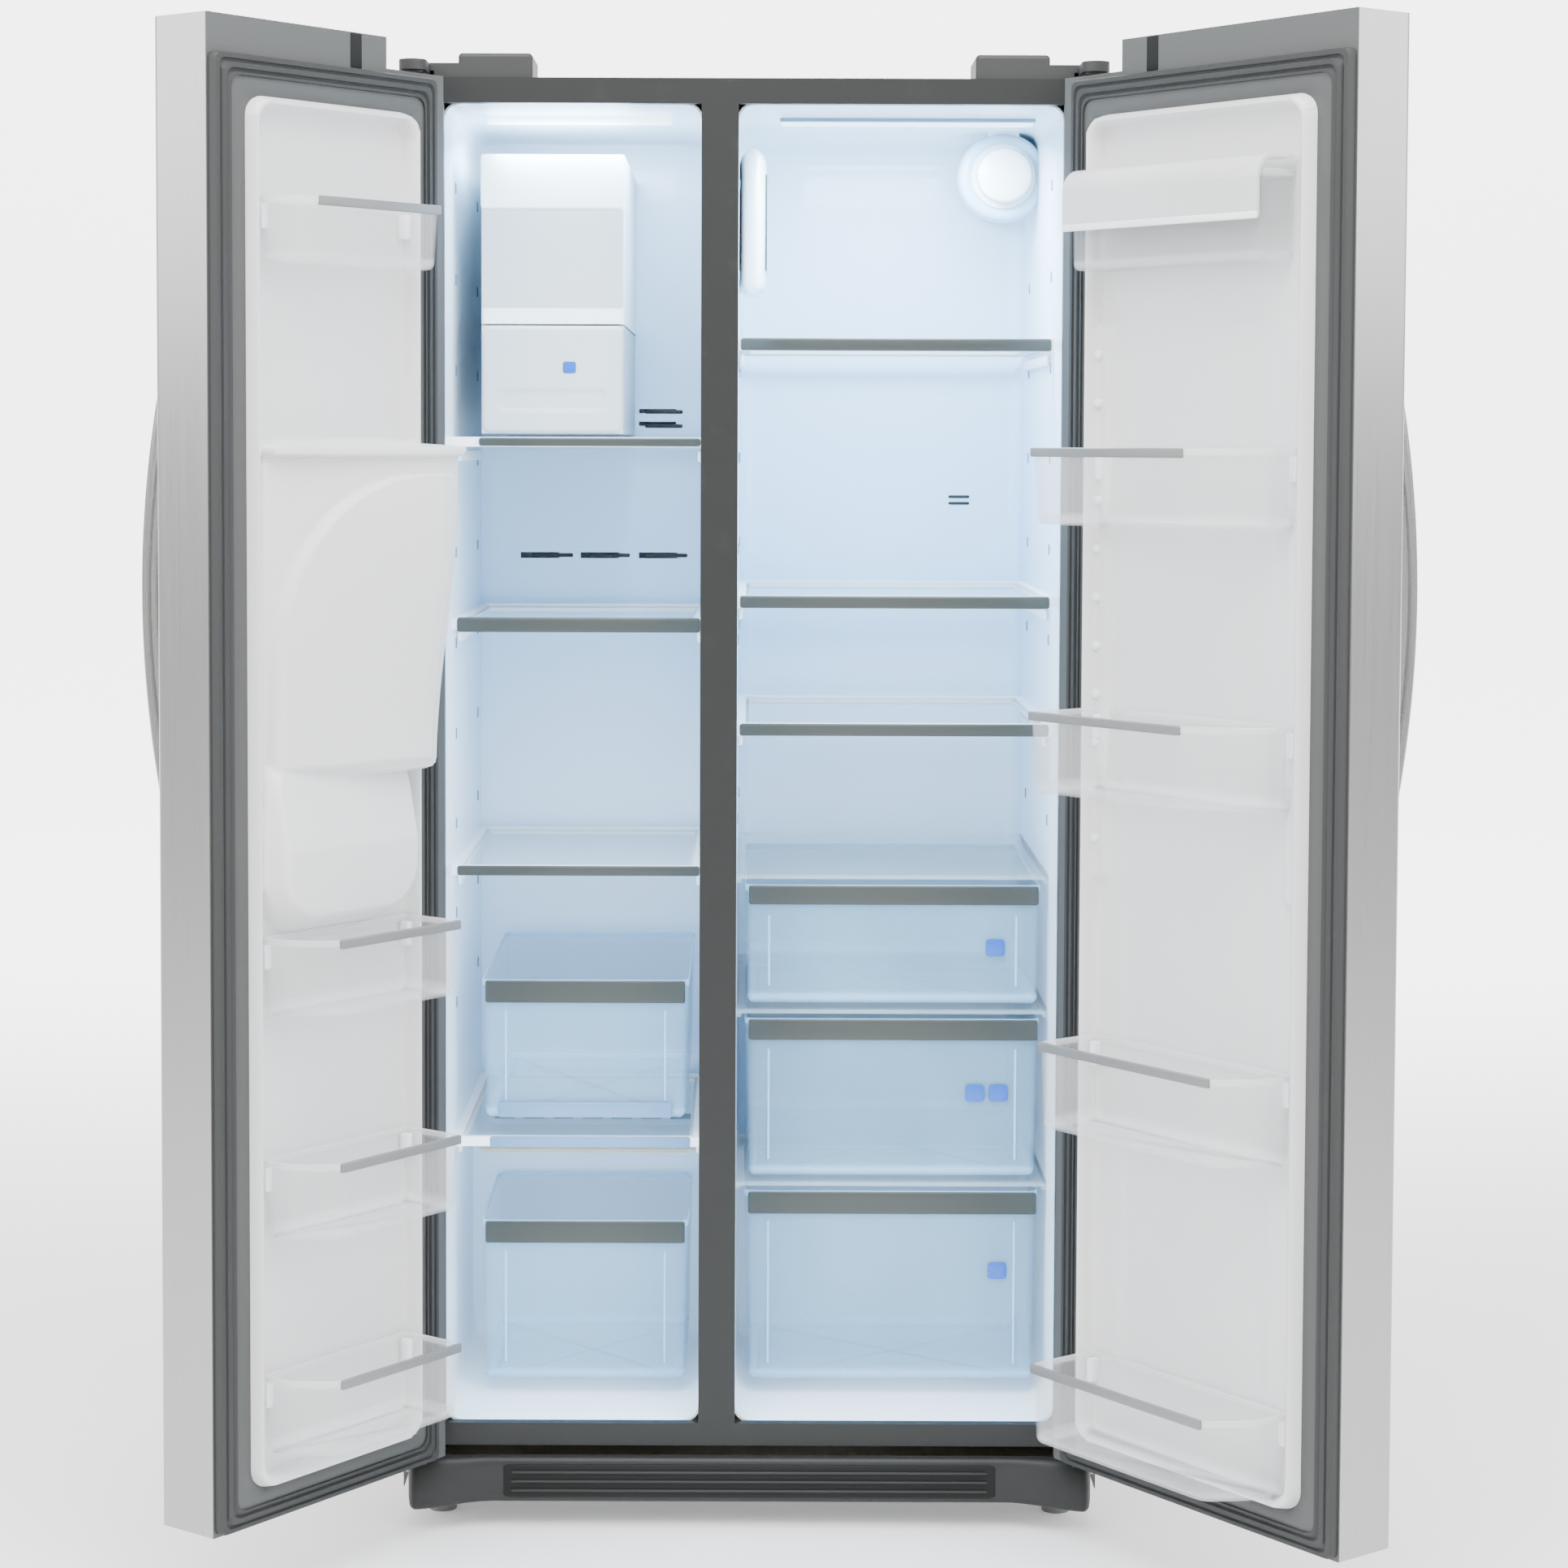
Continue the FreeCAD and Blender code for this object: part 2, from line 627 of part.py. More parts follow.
def skin_and_foam(door, name, opening=None):
    outer = plate_xz(f"{name}_outer", [door_outline(door, number(0))], (SLAB_FRONT, SLAB_BACK))
    edges = (float(door["edge"]), float(at(door, door["width"])))
    soften(outer, number(9), lambda e: upright(e)
           and abs(e.Vertexes[0].Point.y - float(SLAB_FRONT)) < 0.01
           and min(abs(e.Vertexes[0].Point.x - x) for x in edges) < 0.01)
    inner = plate_xz(f"{name}_inner", [door_outline(door, SHEET)],
                     (SLAB_FRONT + SHEET, SLAB_BACK - SHEET))
    soften(inner, number(9) - SHEET, lambda e: upright(e)
           and abs(e.Vertexes[0].Point.y - float(SLAB_FRONT + SHEET)) < 0.01
           and min(abs(e.Vertexes[0].Point.x - x) for x in
                   (edges[0] + door["way"] * float(SHEET),
                    edges[1] - door["way"] * float(SHEET))) < 0.01)
    near, far, low, high = window(door)
    hole = box(f"{name}_window", across(door, near, far), (SLAB_BACK - 5, SLAB_BACK + 1),
               (low, high))
    pins = [rod(f"{name}_bore_top", "z", (door["pin_x"], PIN_Y, NOTCH_FLOOR - 24),
                size["pin_radius"] + size["pin_play"], 30),
            rod(f"{name}_bore_low", "z", (door["pin_x"], PIN_Y, FRAME_LOW - 2),
                size["pin_radius"] + size["pin_play"], 22)]
    tools = [inner, hole] + pins
    if opening is not None:
        tools.append(box(f"{name}_mouth", across(door, opening[0], opening[1]),
                         (SLAB_FRONT - 1, SLAB_FRONT + 8), (opening[2], opening[3])))
    node(f"{name}_skin", cut(f"{name}_skin", outer, tools), door)

    core = plate_xz(f"{name}_core", [door_outline(door, SHEET)],
                    (SLAB_FRONT + SHEET, SLAB_BACK - SHEET))
    soften(core, number(9) - SHEET, lambda e: upright(e)
           and abs(e.Vertexes[0].Point.y - float(SLAB_FRONT + SHEET)) < 0.01
           and min(abs(e.Vertexes[0].Point.x - x) for x in
                   (edges[0] + door["way"] * float(SHEET),
                    edges[1] - door["way"] * float(SHEET))) < 0.01)
    bores = [rod(f"{name}_foam_top", "z", (door["pin_x"], PIN_Y, NOTCH_FLOOR - 24),
                 size["pin_radius"] + size["pin_play"], 30),
             rod(f"{name}_foam_low", "z", (door["pin_x"], PIN_Y, FRAME_LOW - 2),
                 size["pin_radius"] + size["pin_play"], 22)]
    plate_room = box(f"{name}_plate_room", across(door, near, far),
                     (SLAB_BACK - WALL, SLAB_BACK + 1), (low, high))
    foam_tools = bores + [plate_room]
    if opening is not None:
        foam_tools.append(box(f"{name}_foam_mouth", across(door, opening[0], opening[1]),
                              (SLAB_FRONT - 1, SLAB_FRONT + size["disp_deep"] + WALL),
                              (opening[2], opening[3])))
        foam_tools.append(box(f"{name}_foam_chute", across(door, CHUTE[0], CHUTE[1]),
                              (CHUTE_FRONT, SLAB_BACK + 1), (size["disp_mid"], CHUTE_TOP + WALL)))
    node(f"{name}_foam", cut(f"{name}_foam", core, foam_tools), door)


def frame_bars(name, door, near, far, low, high, ys, wide):
    """Four bars round a rectangle."""
    return [box(f"{name}_near", across(door, near, near + wide), ys, (low, high)),
            box(f"{name}_far", across(door, far - wide, far), ys, (low, high)),
            box(f"{name}_low", across(door, near, far), ys, (low, low + wide)),
            box(f"{name}_high", across(door, near, far), ys, (high - wide, high))]


def liner_limits(door):
    return (size["liner_in_hinge"], door["width"] - size["liner_in_free"],
            FRAME_LOW + size["liner_in_low"], DOOR_TOP - size["liner_in_top"])


def door_liner(door, name, extra=(), holes=()):
    near, far, low, high = window(door)
    plate = box(f"{name}_plate", across(door, near, far), (SLAB_BACK - WALL, SLAB_BACK),
                (low, high))
    l_near, l_far, l_low, l_high = liner_limits(door)
    rim = frame_bars(f"{name}_rim", door, l_near, l_far, l_low, l_high,
                     (SLAB_BACK, SLAB_BACK + size["rim_high"]), size["rim_wide"])
    rim_block = rounded(f"{name}_rim_soft", fuse(f"{name}_rim_block", rim), 5,
                        lambda e: along("z")(e) and e.Vertexes[0].Point.y
                        > float(SLAB_BACK + size["rim_high"]) - 0.01)
    solid = fuse(f"{name}_solid", [plate, rim_block] + list(extra))
    if holes:
        solid = cut(f"{name}_cut", solid, holes)
    node(f"{name}_liner", solid, door)


def gasket(door, name):
    half = size["gasket_width"] / 2
    near, far, low, high = window(door)
    outer = corners(across(door, near - half, far + half), (low - half, high + half))
    inner = corners(across(door, near + half, far - half), (low + half, high - half))
    ring_body = plate_xz(f"{name}_gasket", [outer, inner], (SLAB_BACK, -size["gasket_gap"]))
    node(f"{name}_gasket", ring_body, door)


def handle(door, name):
    """A bowed bar: a flat strip swept along an arc, standing on the door at both ends."""
    face = SLAB_FRONT
    middle = size["handle_middle"]
    half = size["handle_length"] / 2
    rise = size["handle_rise"]
    thick = size["handle_thick"]
    root = size["handle_root"]
    far = door["width"] - size["handle_inset"]
    near = far - size["handle_width"]
    xs = across(door, near, far)
    body = new_body(f"{name}_handle")
    drawing = sketch(body, "YZ_Plane", xs[0])
    low, high = middle - half, middle + half
    outer = [(face, low), (face - rise, middle), (face, high)]
    inner = [(face, high - root), (face - rise + thick, middle), (face, low + root)]
    arcs = []
    for points in (outer, inner):
        spots = [Vector(float(a), float(b), 0) for a, b in points]
        arcs.append(drawing.addGeometry(Part.Arc(*spots), False))
    ends = [(outer[2], inner[0]), (inner[2], outer[0])]
    lines = [drawing.addGeometry(Part.LineSegment(Vector(float(a[0]), float(a[1]), 0),
                                                  Vector(float(b[0]), float(b[1]), 0)), False)
             for a, b in ends]
    tie_ends(drawing, arcs, lines)
    places = ((arcs[0], outer[0], 1), (arcs[0], outer[2], 2), (arcs[1], inner[0], 1),
              (arcs[1], inner[2], 2))
    for edge, place, _ in places:
        hold_nearest(drawing, edge, place)
    for edge, radius in ((arcs[0], arc_radius(half, rise)),
                         (arcs[1], arc_radius(half - root, rise - thick))):
        held = drawing.addConstraint(Sketcher.Constraint("Radius", edge, float(radius)))
        drawing.setExpression(f"Constraints[{held}]", radius.text)
    pad(body, drawing, size["handle_width"])
    node(f"{name}_handle", body, door)


def arc_radius(half, rise):
    """Radius of an arc from its half chord and its rise."""
    return (half * half + rise * rise) / (2 * rise)


def tie_ends(drawing, arcs, lines):
    """Joins each line end to the arc end that lies on it."""
    for line in lines:
        for side in (1, 2):
            spot = drawing.getPoint(line, side)
            for arc in arcs:
                for end in (1, 2):
                    if (drawing.getPoint(arc, end) - spot).Length < 1e-4:
                        rule = Sketcher.Constraint("Coincident", line, side, arc, end)
                        drawing.addConstraint(rule)


def hold_nearest(drawing, edge, place):
    spot = Vector(float(place[0]), float(place[1]), 0)
    gaps = [((drawing.getPoint(edge, end) - spot).Length, end) for end in (1, 2)]
    end = min(gaps)[1]
    for kind, value in zip(("DistanceX", "DistanceY"), place):
        rule = Sketcher.Constraint(kind, -1, 1, edge, end, float(value))
        held = drawing.addConstraint(rule)
        drawing.setExpression(f"Constraints[{held}]", number(value).text)


def door_bin(name, door, reach, cut_back, top, height):
    """A clear bin: deep by the hinge, cut back towards the free edge."""
    wall = size["bin_wall"]
    near = size["liner_in_hinge"] + size["rim_wide"] + 1
    far = door["width"] - size["liner_in_free"] - size["rim_wide"] - 1
    back = SLAB_BACK
    front = SLAB_BACK + reach
    waist = SLAB_BACK + reach * 0.42
    front_far = door["width"] - cut_back
    plan = [(near, back), (near, front), (front_far, front), (far, waist), (far, back)]
    inner = [(near + wall, back + wall), (near + wall, front - wall),
             (front_far - wall * 0.6, front - wall), (far - wall, waist - wall * 0.6),
             (far - wall, back + wall)]
    outer_points = [(at(door, d), y) for d, y in plan]
    inner_points = [(at(door, d), y) for d, y in inner]
    return tray(name, outer_points, inner_points, (top - height, top), wall,
                size["bin_corner"], wall)


CHUTE = (number(150), number(220))
CHUTE_FRONT = SLAB_FRONT + 42
CHUTE_TOP = number(1285)


def freezer_door():
    door = FREEZER
    recess = (size["disp_near"], size["disp_far"], size["disp_low"], size["disp_high"])
    skin_and_foam(door, "freezer_door", recess)
    l_near, l_far, _, _ = liner_limits(door)
    low, high = size["bulge_low"], size["bulge_high"]
    reach = size["bulge_deep"]

    def wedge(name, inset):
        """The bulge's plan: deep at the hinge side, falling away to the free side."""
        base = SLAB_BACK if float(inset) == 0 else SLAB_BACK - WALL - 1
        plan = [(at(door, l_near + inset), base),
                (at(door, l_near + inset), SLAB_BACK + reach - inset),
                (at(door, l_near + 95 - inset * 0.5), SLAB_BACK + reach - inset),
                (at(door, l_far - 30 - inset * 0.5), SLAB_BACK + 38 - inset),
                (at(door, l_far - inset), SLAB_BACK + 24 - inset),
                (at(door, l_far - inset), base)]
        return plate_xy(name, [plan], (low + inset, high - inset))

    outer = wedge("bulge_outer", number(0))
    soften(outer, number(16), lambda e: upright(e)
           and e.Vertexes[0].Point.y > float(SLAB_BACK) + 20)
    soften(outer, number(12), lambda e: e.Vertexes[0].Point.z > float(high) - 0.01
           and e.Vertexes[-1].Point.z > float(high) - 0.01
           and e.BoundBox.YMax > float(SLAB_BACK) + 30)
    soften(outer, number(30), lambda e: e.Vertexes[0].Point.z < float(low) + 0.01
           and e.Vertexes[-1].Point.z < float(low) + 0.01
           and e.BoundBox.YMin > float(SLAB_BACK) + 30)
    inner = wedge("bulge_inner", WALL)
    mouth = box("bulge_mouth", across(door, CHUTE[0], CHUTE[1]),
                (SLAB_BACK + 6, SLAB_BACK + 44), (high - 20, high + 1))
    back_hole = box("bulge_back", across(door, CHUTE[0], CHUTE[1]),
                    (SLAB_BACK - WALL - 1, SLAB_BACK + 1), (size["disp_mid"] + 2, CHUTE_TOP))
    door_liner(door, "freezer_door", [outer], [inner, mouth, back_hole])
    gasket(door, "freezer_door")
    handle(door, "freezer_door")

    bins = []
    tall = size["bin_height"]
    for name, forward, top, height in (
            ("freezer_bin_top", 66, number(1572), number(73)),
            ("freezer_bin_one", 95, size["bulge_low"] - 3, tall),
            ("freezer_bin_two", 95, number(506), tall),
            ("freezer_bin_three", 95, number(263), tall)):
        bins.append(door_bin(name, door, number(forward), number(105.25), top, height))
    node("freezer_door_bins", group("freezer_door_bins", bins), door)
    dispenser(door)


def dispenser(door):
    near, far = size["disp_near"], size["disp_far"]
    low, mid, high = size["disp_low"], size["disp_mid"], size["disp_high"]
    back = SLAB_FRONT + size["disp_deep"]
    play = number(0.4)
    block = box("disp_block", across(door, near + play, far - play), (SLAB_FRONT, back + WALL - play),
                (low + play, high - play))
    flange = box("disp_flange", across(door, near - 8, far + 8), (SLAB_FRONT - 3, SLAB_FRONT),
                 (low - 8, high + 8))
    flange_soft = rounded("disp_flange_soft", flange, 1.5,
                          lambda e: e.Vertexes[0].Point.y < float(SLAB_FRONT) - 2.9
                          and e.Vertexes[-1].Point.y < float(SLAB_FRONT) - 2.9)
    niche = plate_xz("disp_niche",
                     [corners(across(door, near + WALL + play, far - WALL - play),
                              (low + WALL + play, mid - WALL))],
                     (SLAB_FRONT - 4, back - play))
    soften(niche, number(22), lambda e: along("y")(e)
           and e.Vertexes[0].Point.z > float(mid) - 10)
    works = box("disp_works", across(door, near + WALL + play, far - WALL - play),
                (SLAB_FRONT + 3, back + WALL), (mid + WALL, high - WALL - play))
    chute_out = box("chute_out", across(door, CHUTE[0] + 0.4, CHUTE[1] - 0.4),
                    (CHUTE_FRONT + 0.4, back), (mid - WALL, CHUTE_TOP + WALL - 0.4))
    chute_in = box("chute_in", across(door, CHUTE[0] + 0.4 + WALL, CHUTE[1] - 0.4 - WALL),
                   (CHUTE_FRONT + 0.4 + WALL, back + 4), (mid - WALL - 1, CHUTE_TOP - 1))
    hub_holes = [rod("paddle_hole", "x", (at(door, near + play), PADDLE_Y, PADDLE_Z), 3.4,
                     far - near - play * 2)]
    shell = cut("disp_shell", fuse("disp_solid", [block, flange_soft]), [niche, works])
    housing = cut("disp_housing", fuse("disp_all", [shell, chute_out]), [chute_in] + hub_holes)
    node("dispenser_housing", housing, door)

    panel = box("panel_block", across(door, near + 4, far - 4), (SLAB_FRONT - 5, SLAB_FRONT - 3),
                (mid + 12, high - 8))
    panel_soft = rounded("panel_soft", panel, 0.8,
                         lambda e: e.Vertexes[0].Point.y < float(SLAB_FRONT) - 4.9
                         and e.Vertexes[-1].Point.y < float(SLAB_FRONT) - 4.9)
    node("control_panel", panel_soft, door)

    middle = (near + far) / 2
    shaft = rod("paddle_shaft", "x", (at(door, near + play + 1), PADDLE_Y, PADDLE_Z), 3,
                far - near - play * 2 - 2)
    blade = box("paddle_blade", across(door, middle - 34, middle + 34),
                (PADDLE_Y - 2, PADDLE_Y + 2), (PADDLE_Z - 118, PADDLE_Z))
    blade_soft = rounded("paddle_blade_soft", blade, 12,
                         lambda e: along("y")(e) and e.Vertexes[0].Point.z < float(PADDLE_Z) - 100)
    node("dispenser_paddle", fuse("dispenser_paddle", [shaft, blade_soft]), door)

    flap = box("flap_plate", across(door, CHUTE[0] + 5, CHUTE[1] - 5),
               (CHUTE_FRONT + 5, back - 4), (FLAP_Z - 1.25, FLAP_Z + 1.25))
    axle = rod("flap_axle", "x", (at(door, CHUTE[0] + 3.5), CHUTE_FRONT + 6.5, FLAP_Z), 2,
               CHUTE[1] - CHUTE[0] - 7)
    node("ice_flap", fuse("ice_flap", [flap, axle]), door)

    tray_low = low + WALL + play + 0.3
    pan = box("tray_pan", across(door, near + 9, far - 9), (SLAB_FRONT + 4, back - 5),
              (tray_low, tray_low + 14))
    well = box("tray_well", across(door, near + 12, far - 12), (SLAB_FRONT + 7, back - 8),
               (tray_low + 2, tray_low + 11))
    slots = [box("tray_slot", across(door, near + 20 + 15 * i, near + 29 + 15 * i),
                 (SLAB_FRONT + 12, back - 12), (tray_low + 10, tray_low + 15))
             for i in range(11)]
    node("drip_tray", cut("drip_tray", pan, [well] + slots), door)


PADDLE_Y = SLAB_FRONT + 38
PADDLE_Z = number(1196)
FLAP_Z = number(1252)


def fridge_door():
    door = FRIDGE
    skin_and_foam(door, "fridge_door")
    l_near, l_far, _, _ = liner_limits(door)
    door_liner(door, "fridge_door")
    gasket(door, "fridge_door")
    handle(door, "fridge_door")
    bins = []
    for name, reach, cut_back, top, height in (
            ("fridge_bin_one", 118, 137.25, 1299, 87), ("fridge_bin_two", 118, 137.25, 999, 93),
            ("fridge_bin_three", 100, 105.25, 617, 100),
            ("fridge_bin_four", 107, 105.25, 243, 92)):
        bins.append(door_bin(name, door, number(reach), number(cut_back), number(top),
                             number(height)))
    bins.append(dairy_box(door))
    node("fridge_door_bins", group("fridge_door_bins", bins), door)

    near = l_near + size["rim_wide"] + 2
    far = l_far - size["rim_wide"] - 12
    lid_top = DAIRY_TOP + 16
    top_plate = box("lid_top", across(door, near, far), (SLAB_BACK + 8, SLAB_BACK + 68),
                    (lid_top - 6, lid_top))
    front = box("lid_front", across(door, near, far), (SLAB_BACK + 62, SLAB_BACK + 68),
                (lid_top - 70, lid_top))
    lid = fuse("lid_block", [top_plate, front])
    soft = rounded("lid_soft", lid, 5, lambda e: along("x")(e)
                   and e.Vertexes[0].Point.z > float(lid_top) - 0.01
                   and e.Vertexes[0].Point.y > float(SLAB_BACK) + 60)
    rollers = rod("lid_pivot", "x", (across(door, near - 1.4, far + 1.4)[0], SLAB_BACK + 10,
                                     lid_top - 3), 3, far - near + 2.8)
    node("dairy_lid", fuse("dairy_lid", [soft, rollers]), door)


DAIRY_TOP = number(1600)
DAIRY_LOW = number(1500)


def dairy_box(door):
    l_near, l_far, _, _ = liner_limits(door)
    near = l_near + size["rim_wide"] + 1
    far = l_far - size["rim_wide"] - 11
    back, front, wall = SLAB_BACK, SLAB_BACK + 60, size["bin_wall"]
    outer = corners(across(door, near, far), (back, front))
    inner = corners(across(door, near + wall, far - wall), (back + wall, front - wall))
    return tray("dairy_box", outer, inner, (DAIRY_LOW, DAIRY_TOP), wall, number(8), wall)


# ---------------------------------------------------------------- shelves and drawers

def shelf(name, left, right, height, back, band):
    """A glass pane held in a rim; returns the pane and the rim with its front band."""
    pane_low = height + band / 2 - size["glass"] - 1
    pane = box(name + "_pane", (left + 10, right - 10), (FRONT + 6, back - 10),
               (pane_low, pane_low + size["glass"]))
    outer = box(name + "_outer", (left, right), (FRONT - 2, back),
                (pane_low - 6, height + band / 2))
    front = box(name + "_front", (left, right), (FRONT - 2, FRONT + 1),
                (height - band / 2, height + band / 2))
    light = box(name + "_light", (left + 14, right - 14), (FRONT + 14, back - 14),
                (pane_low - 20, height + band))
    seat = box(name + "_seat", (left + 10, right - 10), (FRONT + 6, back - 10),
               (pane_low, height + band))
    under = box(name + "_under", (left + 6, right - 6), (FRONT + 8, back - 4),
                (pane_low - 7, pane_low - 3))
    rim = cut(name + "_rim", fuse(name + "_whole", [outer, front]), [light, seat, under])
    return pane, rim


def fridge_inside():
    panes, rims = [], []
    for name in ("shelf_one", "shelf_two", "shelf_three"):
        pane, rim = shelf(name, COOL_LEFT, COOL_RIGHT, size[name], size["shelf_back"],
                          size["shelf_band"])
        panes.append(pane)
        rims.append(rim)
    node("fridge_shelf_glass", group("fridge_shelf_glass", panes))
    node("fridge_shelf_frames", group("fridge_shelf_frames", rims))

    covers = []
    for name, top, back in (("deli_cover", size["deli_top"] + 8, size["shelf_back"]),
                            ("crisper_cover", size["crisper_top"] + 2, size["shelf_back"]),
                            ("base_cover", size["base_top"] - 1, STEP_FRONT)):
        sheet_now = box(name + "_sheet", (COOL_LEFT, COOL_RIGHT), (FRONT + 2, back),
                        (top - 5, top))
        runners = [box(name + "_runner", (x, x + 6), (FRONT + 12, back - 20), (top - 11, top - 5))
                   for x in (COOL_LEFT, COOL_RIGHT - 6)]
        covers.append(fuse(name, [sheet_now] + runners))
    node("crisper_covers", group("crisper_covers", covers))

    for name, top, low, back in (
            ("deli_drawer", size["deli_top"], size["deli_low"], size["shelf_back"] - 20),
            ("upper_crisper", size["crisper_top"] - 5, size["crisper_low"], size["shelf_back"] - 20),
            ("lower_crisper", size["base_top"] - 8, size["base_low"], STEP_FRONT - 8)):
        drawer(name, COOL_LEFT + size["side_play"], COOL_RIGHT - size["side_play"], top - 4, low, back)


def drawer(name, left, right, top, low, back):
    wall = size["drawer_wall"]
    outer = corners((left, right), (FRONT, back))
    inner = corners((left + wall, right - wall), (FRONT + wall, back - wall))
    node(name, tray(name, outer, inner, (low, top), wall, number(8), wall))


def freezer_inside():
    panes, rims = [], []
    back = size["shelf_back"] - 30
    for name in ("cold_shelf_one", "cold_shelf_two", "cold_shelf_three", "cold_shelf_four"):
        pane, rim = shelf(name, COLD_LEFT, COLD_RIGHT, size[name], back, number(12))
        panes.append(pane)
        rims.append(rim)
    node("freezer_shelf_glass", group("freezer_shelf_glass", panes))
    node("freezer_shelf_frames", group("freezer_shelf_frames", rims))
    left, right = COLD_LEFT + size["ice_side"], COLD_RIGHT - 14
    drawer("freezer_basket", left, right, size["basket_top"], size["basket_low"],
           size["shelf_back"] - 40)
    drawer("freezer_drawer", left, right, size["bottom_top"], size["bottom_low"], STEP_FRONT - 8)

    cover_back = size["cooler_cover"]
    cover = box("cooler_plate", (COLD_LEFT, COLD_RIGHT), (cover_back - 3, cover_back),
                (STEP_TOP, OPEN_TOP))
    through = (cover_back - 5, cover_back + 2)
    air_low = size["cold_shelf_two"] + 67
    slots = [box("air_slot", (COLD_LEFT + start, COLD_LEFT + start + 52), through,
                 (air_low, air_low + 8)) for start in (53, 134, 213)]
    for above in (22, 39):
        level = size["cold_shelf_one"] + above
        slots.append(box("duct_slot", (COLD_LEFT + 213, COLD_LEFT + 263), through,
                         (level, level + 6)))
    slots += [box("return_slot", (COLD_LEFT + 17 + 40 * i, COLD_LEFT + 45 + 40 * i), through,
                  (STEP_TOP + 8, STEP_TOP + 16)) for i in range(7)]
    node("evaporator_cover", cut("evaporator_cover", cover, slots))
    coil(cover_back)
    ice_works()


def coil(cover_back):
    """Evaporator: rows of tube through upright fins."""
    left, right = COLD_LEFT + 22, COLD_RIGHT - 22
    fins = [box("fin", (left + 8 + 12 * i, left + 9 + 12 * i), (cover_back + 6, LINER_BACK - 8),
                (STEP_TOP + 68, STEP_TOP + 528)) for i in range(21)]
    tubes = [rod("coil_tube", "x", (left, depth, STEP_TOP + 88 + 60 * i), 4, right - left)
             for i in range(8) for depth in (cover_back + 18, LINER_BACK - 20)]
    node("evaporator_coil", fuse("evaporator_coil", fins + tubes))


def fan(name, centre, radius, hub, bore, depth):
    """A bored hub with blades repeated round it, turning about Y; its front is at the centre."""
    body = new_body(name)
    drawing = sketch(body, "XZ_Plane", -number(depth))
    circle(drawing, (0, 0), hub)
    circle(drawing, (0, 0), bore)
    pad(body, drawing, depth)
    blade = sketch(body, "XZ_Plane", -number(depth) * 0.7)
    polygon(blade, [(-4, hub * 0.7), (9, hub * 0.7), (17, radius - 5), (4, radius),
                    (-10, radius - 3)])
    vane = pad(body, blade, 2)
    doc.recompute()
    repeat = body.newObject("PartDesign::PolarPattern", name + "_round")
    repeat.Originals = [vane]
    repeat.Axis = (drawing, ["N_Axis"])
    repeat.Angle = 360
    repeat.Occurrences = 5
    body.Tip = repeat
    for letter, place in zip("xyz", centre):
        bind(body, f".Placement.Base.{letter}", place)
    return body


def ice_works():
    left = COLD_LEFT + size["ice_side"]
    right = left + size["ice_width"]
    roof = OPEN_TOP - size["ice_head"]
    floor = size["cold_shelf_one"] + size["ice_foot"]
    split = floor + size["ice_bin_height"]
    back = size["cooler_cover"] - 4
    case = box("maker_case", (left, right), (FRONT + 4, back), (split, roof))
    case_soft = rounded("maker_soft", case, 9, lambda e: along("z")(e)
                        and e.Vertexes[0].Point.y < float(FRONT) + 5)
    room = box("maker_room", (left + 3, right - 3), (FRONT + 60, back + 1), (split - 1, roof - 4))
    mould = box("maker_mould", (left + 20, right - 20), (FRONT + 90, back - 90),
                (split + 66, split + 106))
    cups = [box("maker_cup", (left + 26, right - 26),
                (FRONT + 96 + 28 * i, FRONT + 118 + 28 * i), (split + 74, split + 107))
            for i in range(8)]
    posts = [box("maker_post", (left + 2, left + 21), (FRONT + 92, back - 92), (split + 70, split + 80)),
             box("maker_post", (right - 21, right - 2), (FRONT + 92, back - 92),
                 (split + 70, split + 80))]
    node("ice_maker", cut("ice_maker_body", fuse("ice_maker_all",
         [cut("maker_shell", case_soft, [room]), mould] + posts), cups))

    bin_outer = corners((left + 1, right - 1), (FRONT + 2, back - 6))
    bin_inner = corners((left + 4, right - 4), (FRONT + 8, back - 9))
    store = tray("ice_bin_tray", bin_outer, bin_inner, (floor + 2, split - 2), number(3), number(8),
                 number(3))
    grip = box("ice_grip", (left + 16, right - 16), (FRONT, FRONT + 5), (floor + 30, floor + 44))
    middle = (left + right) / 2
    level = floor + 10 + size["auger_radius"]
    bore = rod("auger_bore", "y", (middle, FRONT + 7, level), 5.6, 12)
    rear = rod("auger_rear", "y", (middle, back - 20, level), 5.6, 20)
    boss = rod("auger_boss", "y", (middle, FRONT + 7, level), 10, 6)
    node("ice_bin", cut("ice_bin", fuse("ice_bin_all", [store, boss]), [grip, bore, rear]))

    shaft = rod("auger_shaft", "y", (middle, FRONT + 8, level), 5, back - FRONT - 16)
    discs = []
    count = 9
    for i in range(count):
        disc = doc.addObject("Part::Cylinder", "auger_flight")
        bind(disc, "Radius", size["auger_radius"] - 4)
        bind(disc, "Height", 4)
        lean = FreeCAD.Rotation(Vector(1, 0, 0), -90).multiply(
            FreeCAD.Rotation(Vector(0, 1, 0), 16))
        disc.Placement = FreeCAD.Placement(Vector(), lean)
        bind(disc, ".Placement.Base.x", middle)
        bind(disc, ".Placement.Base.y", FRONT + 40 + 38 * i)
        bind(disc, ".Placement.Base.z", level)
        discs.append(disc)
    node("ice_auger", fuse("ice_auger", [shaft] + discs))


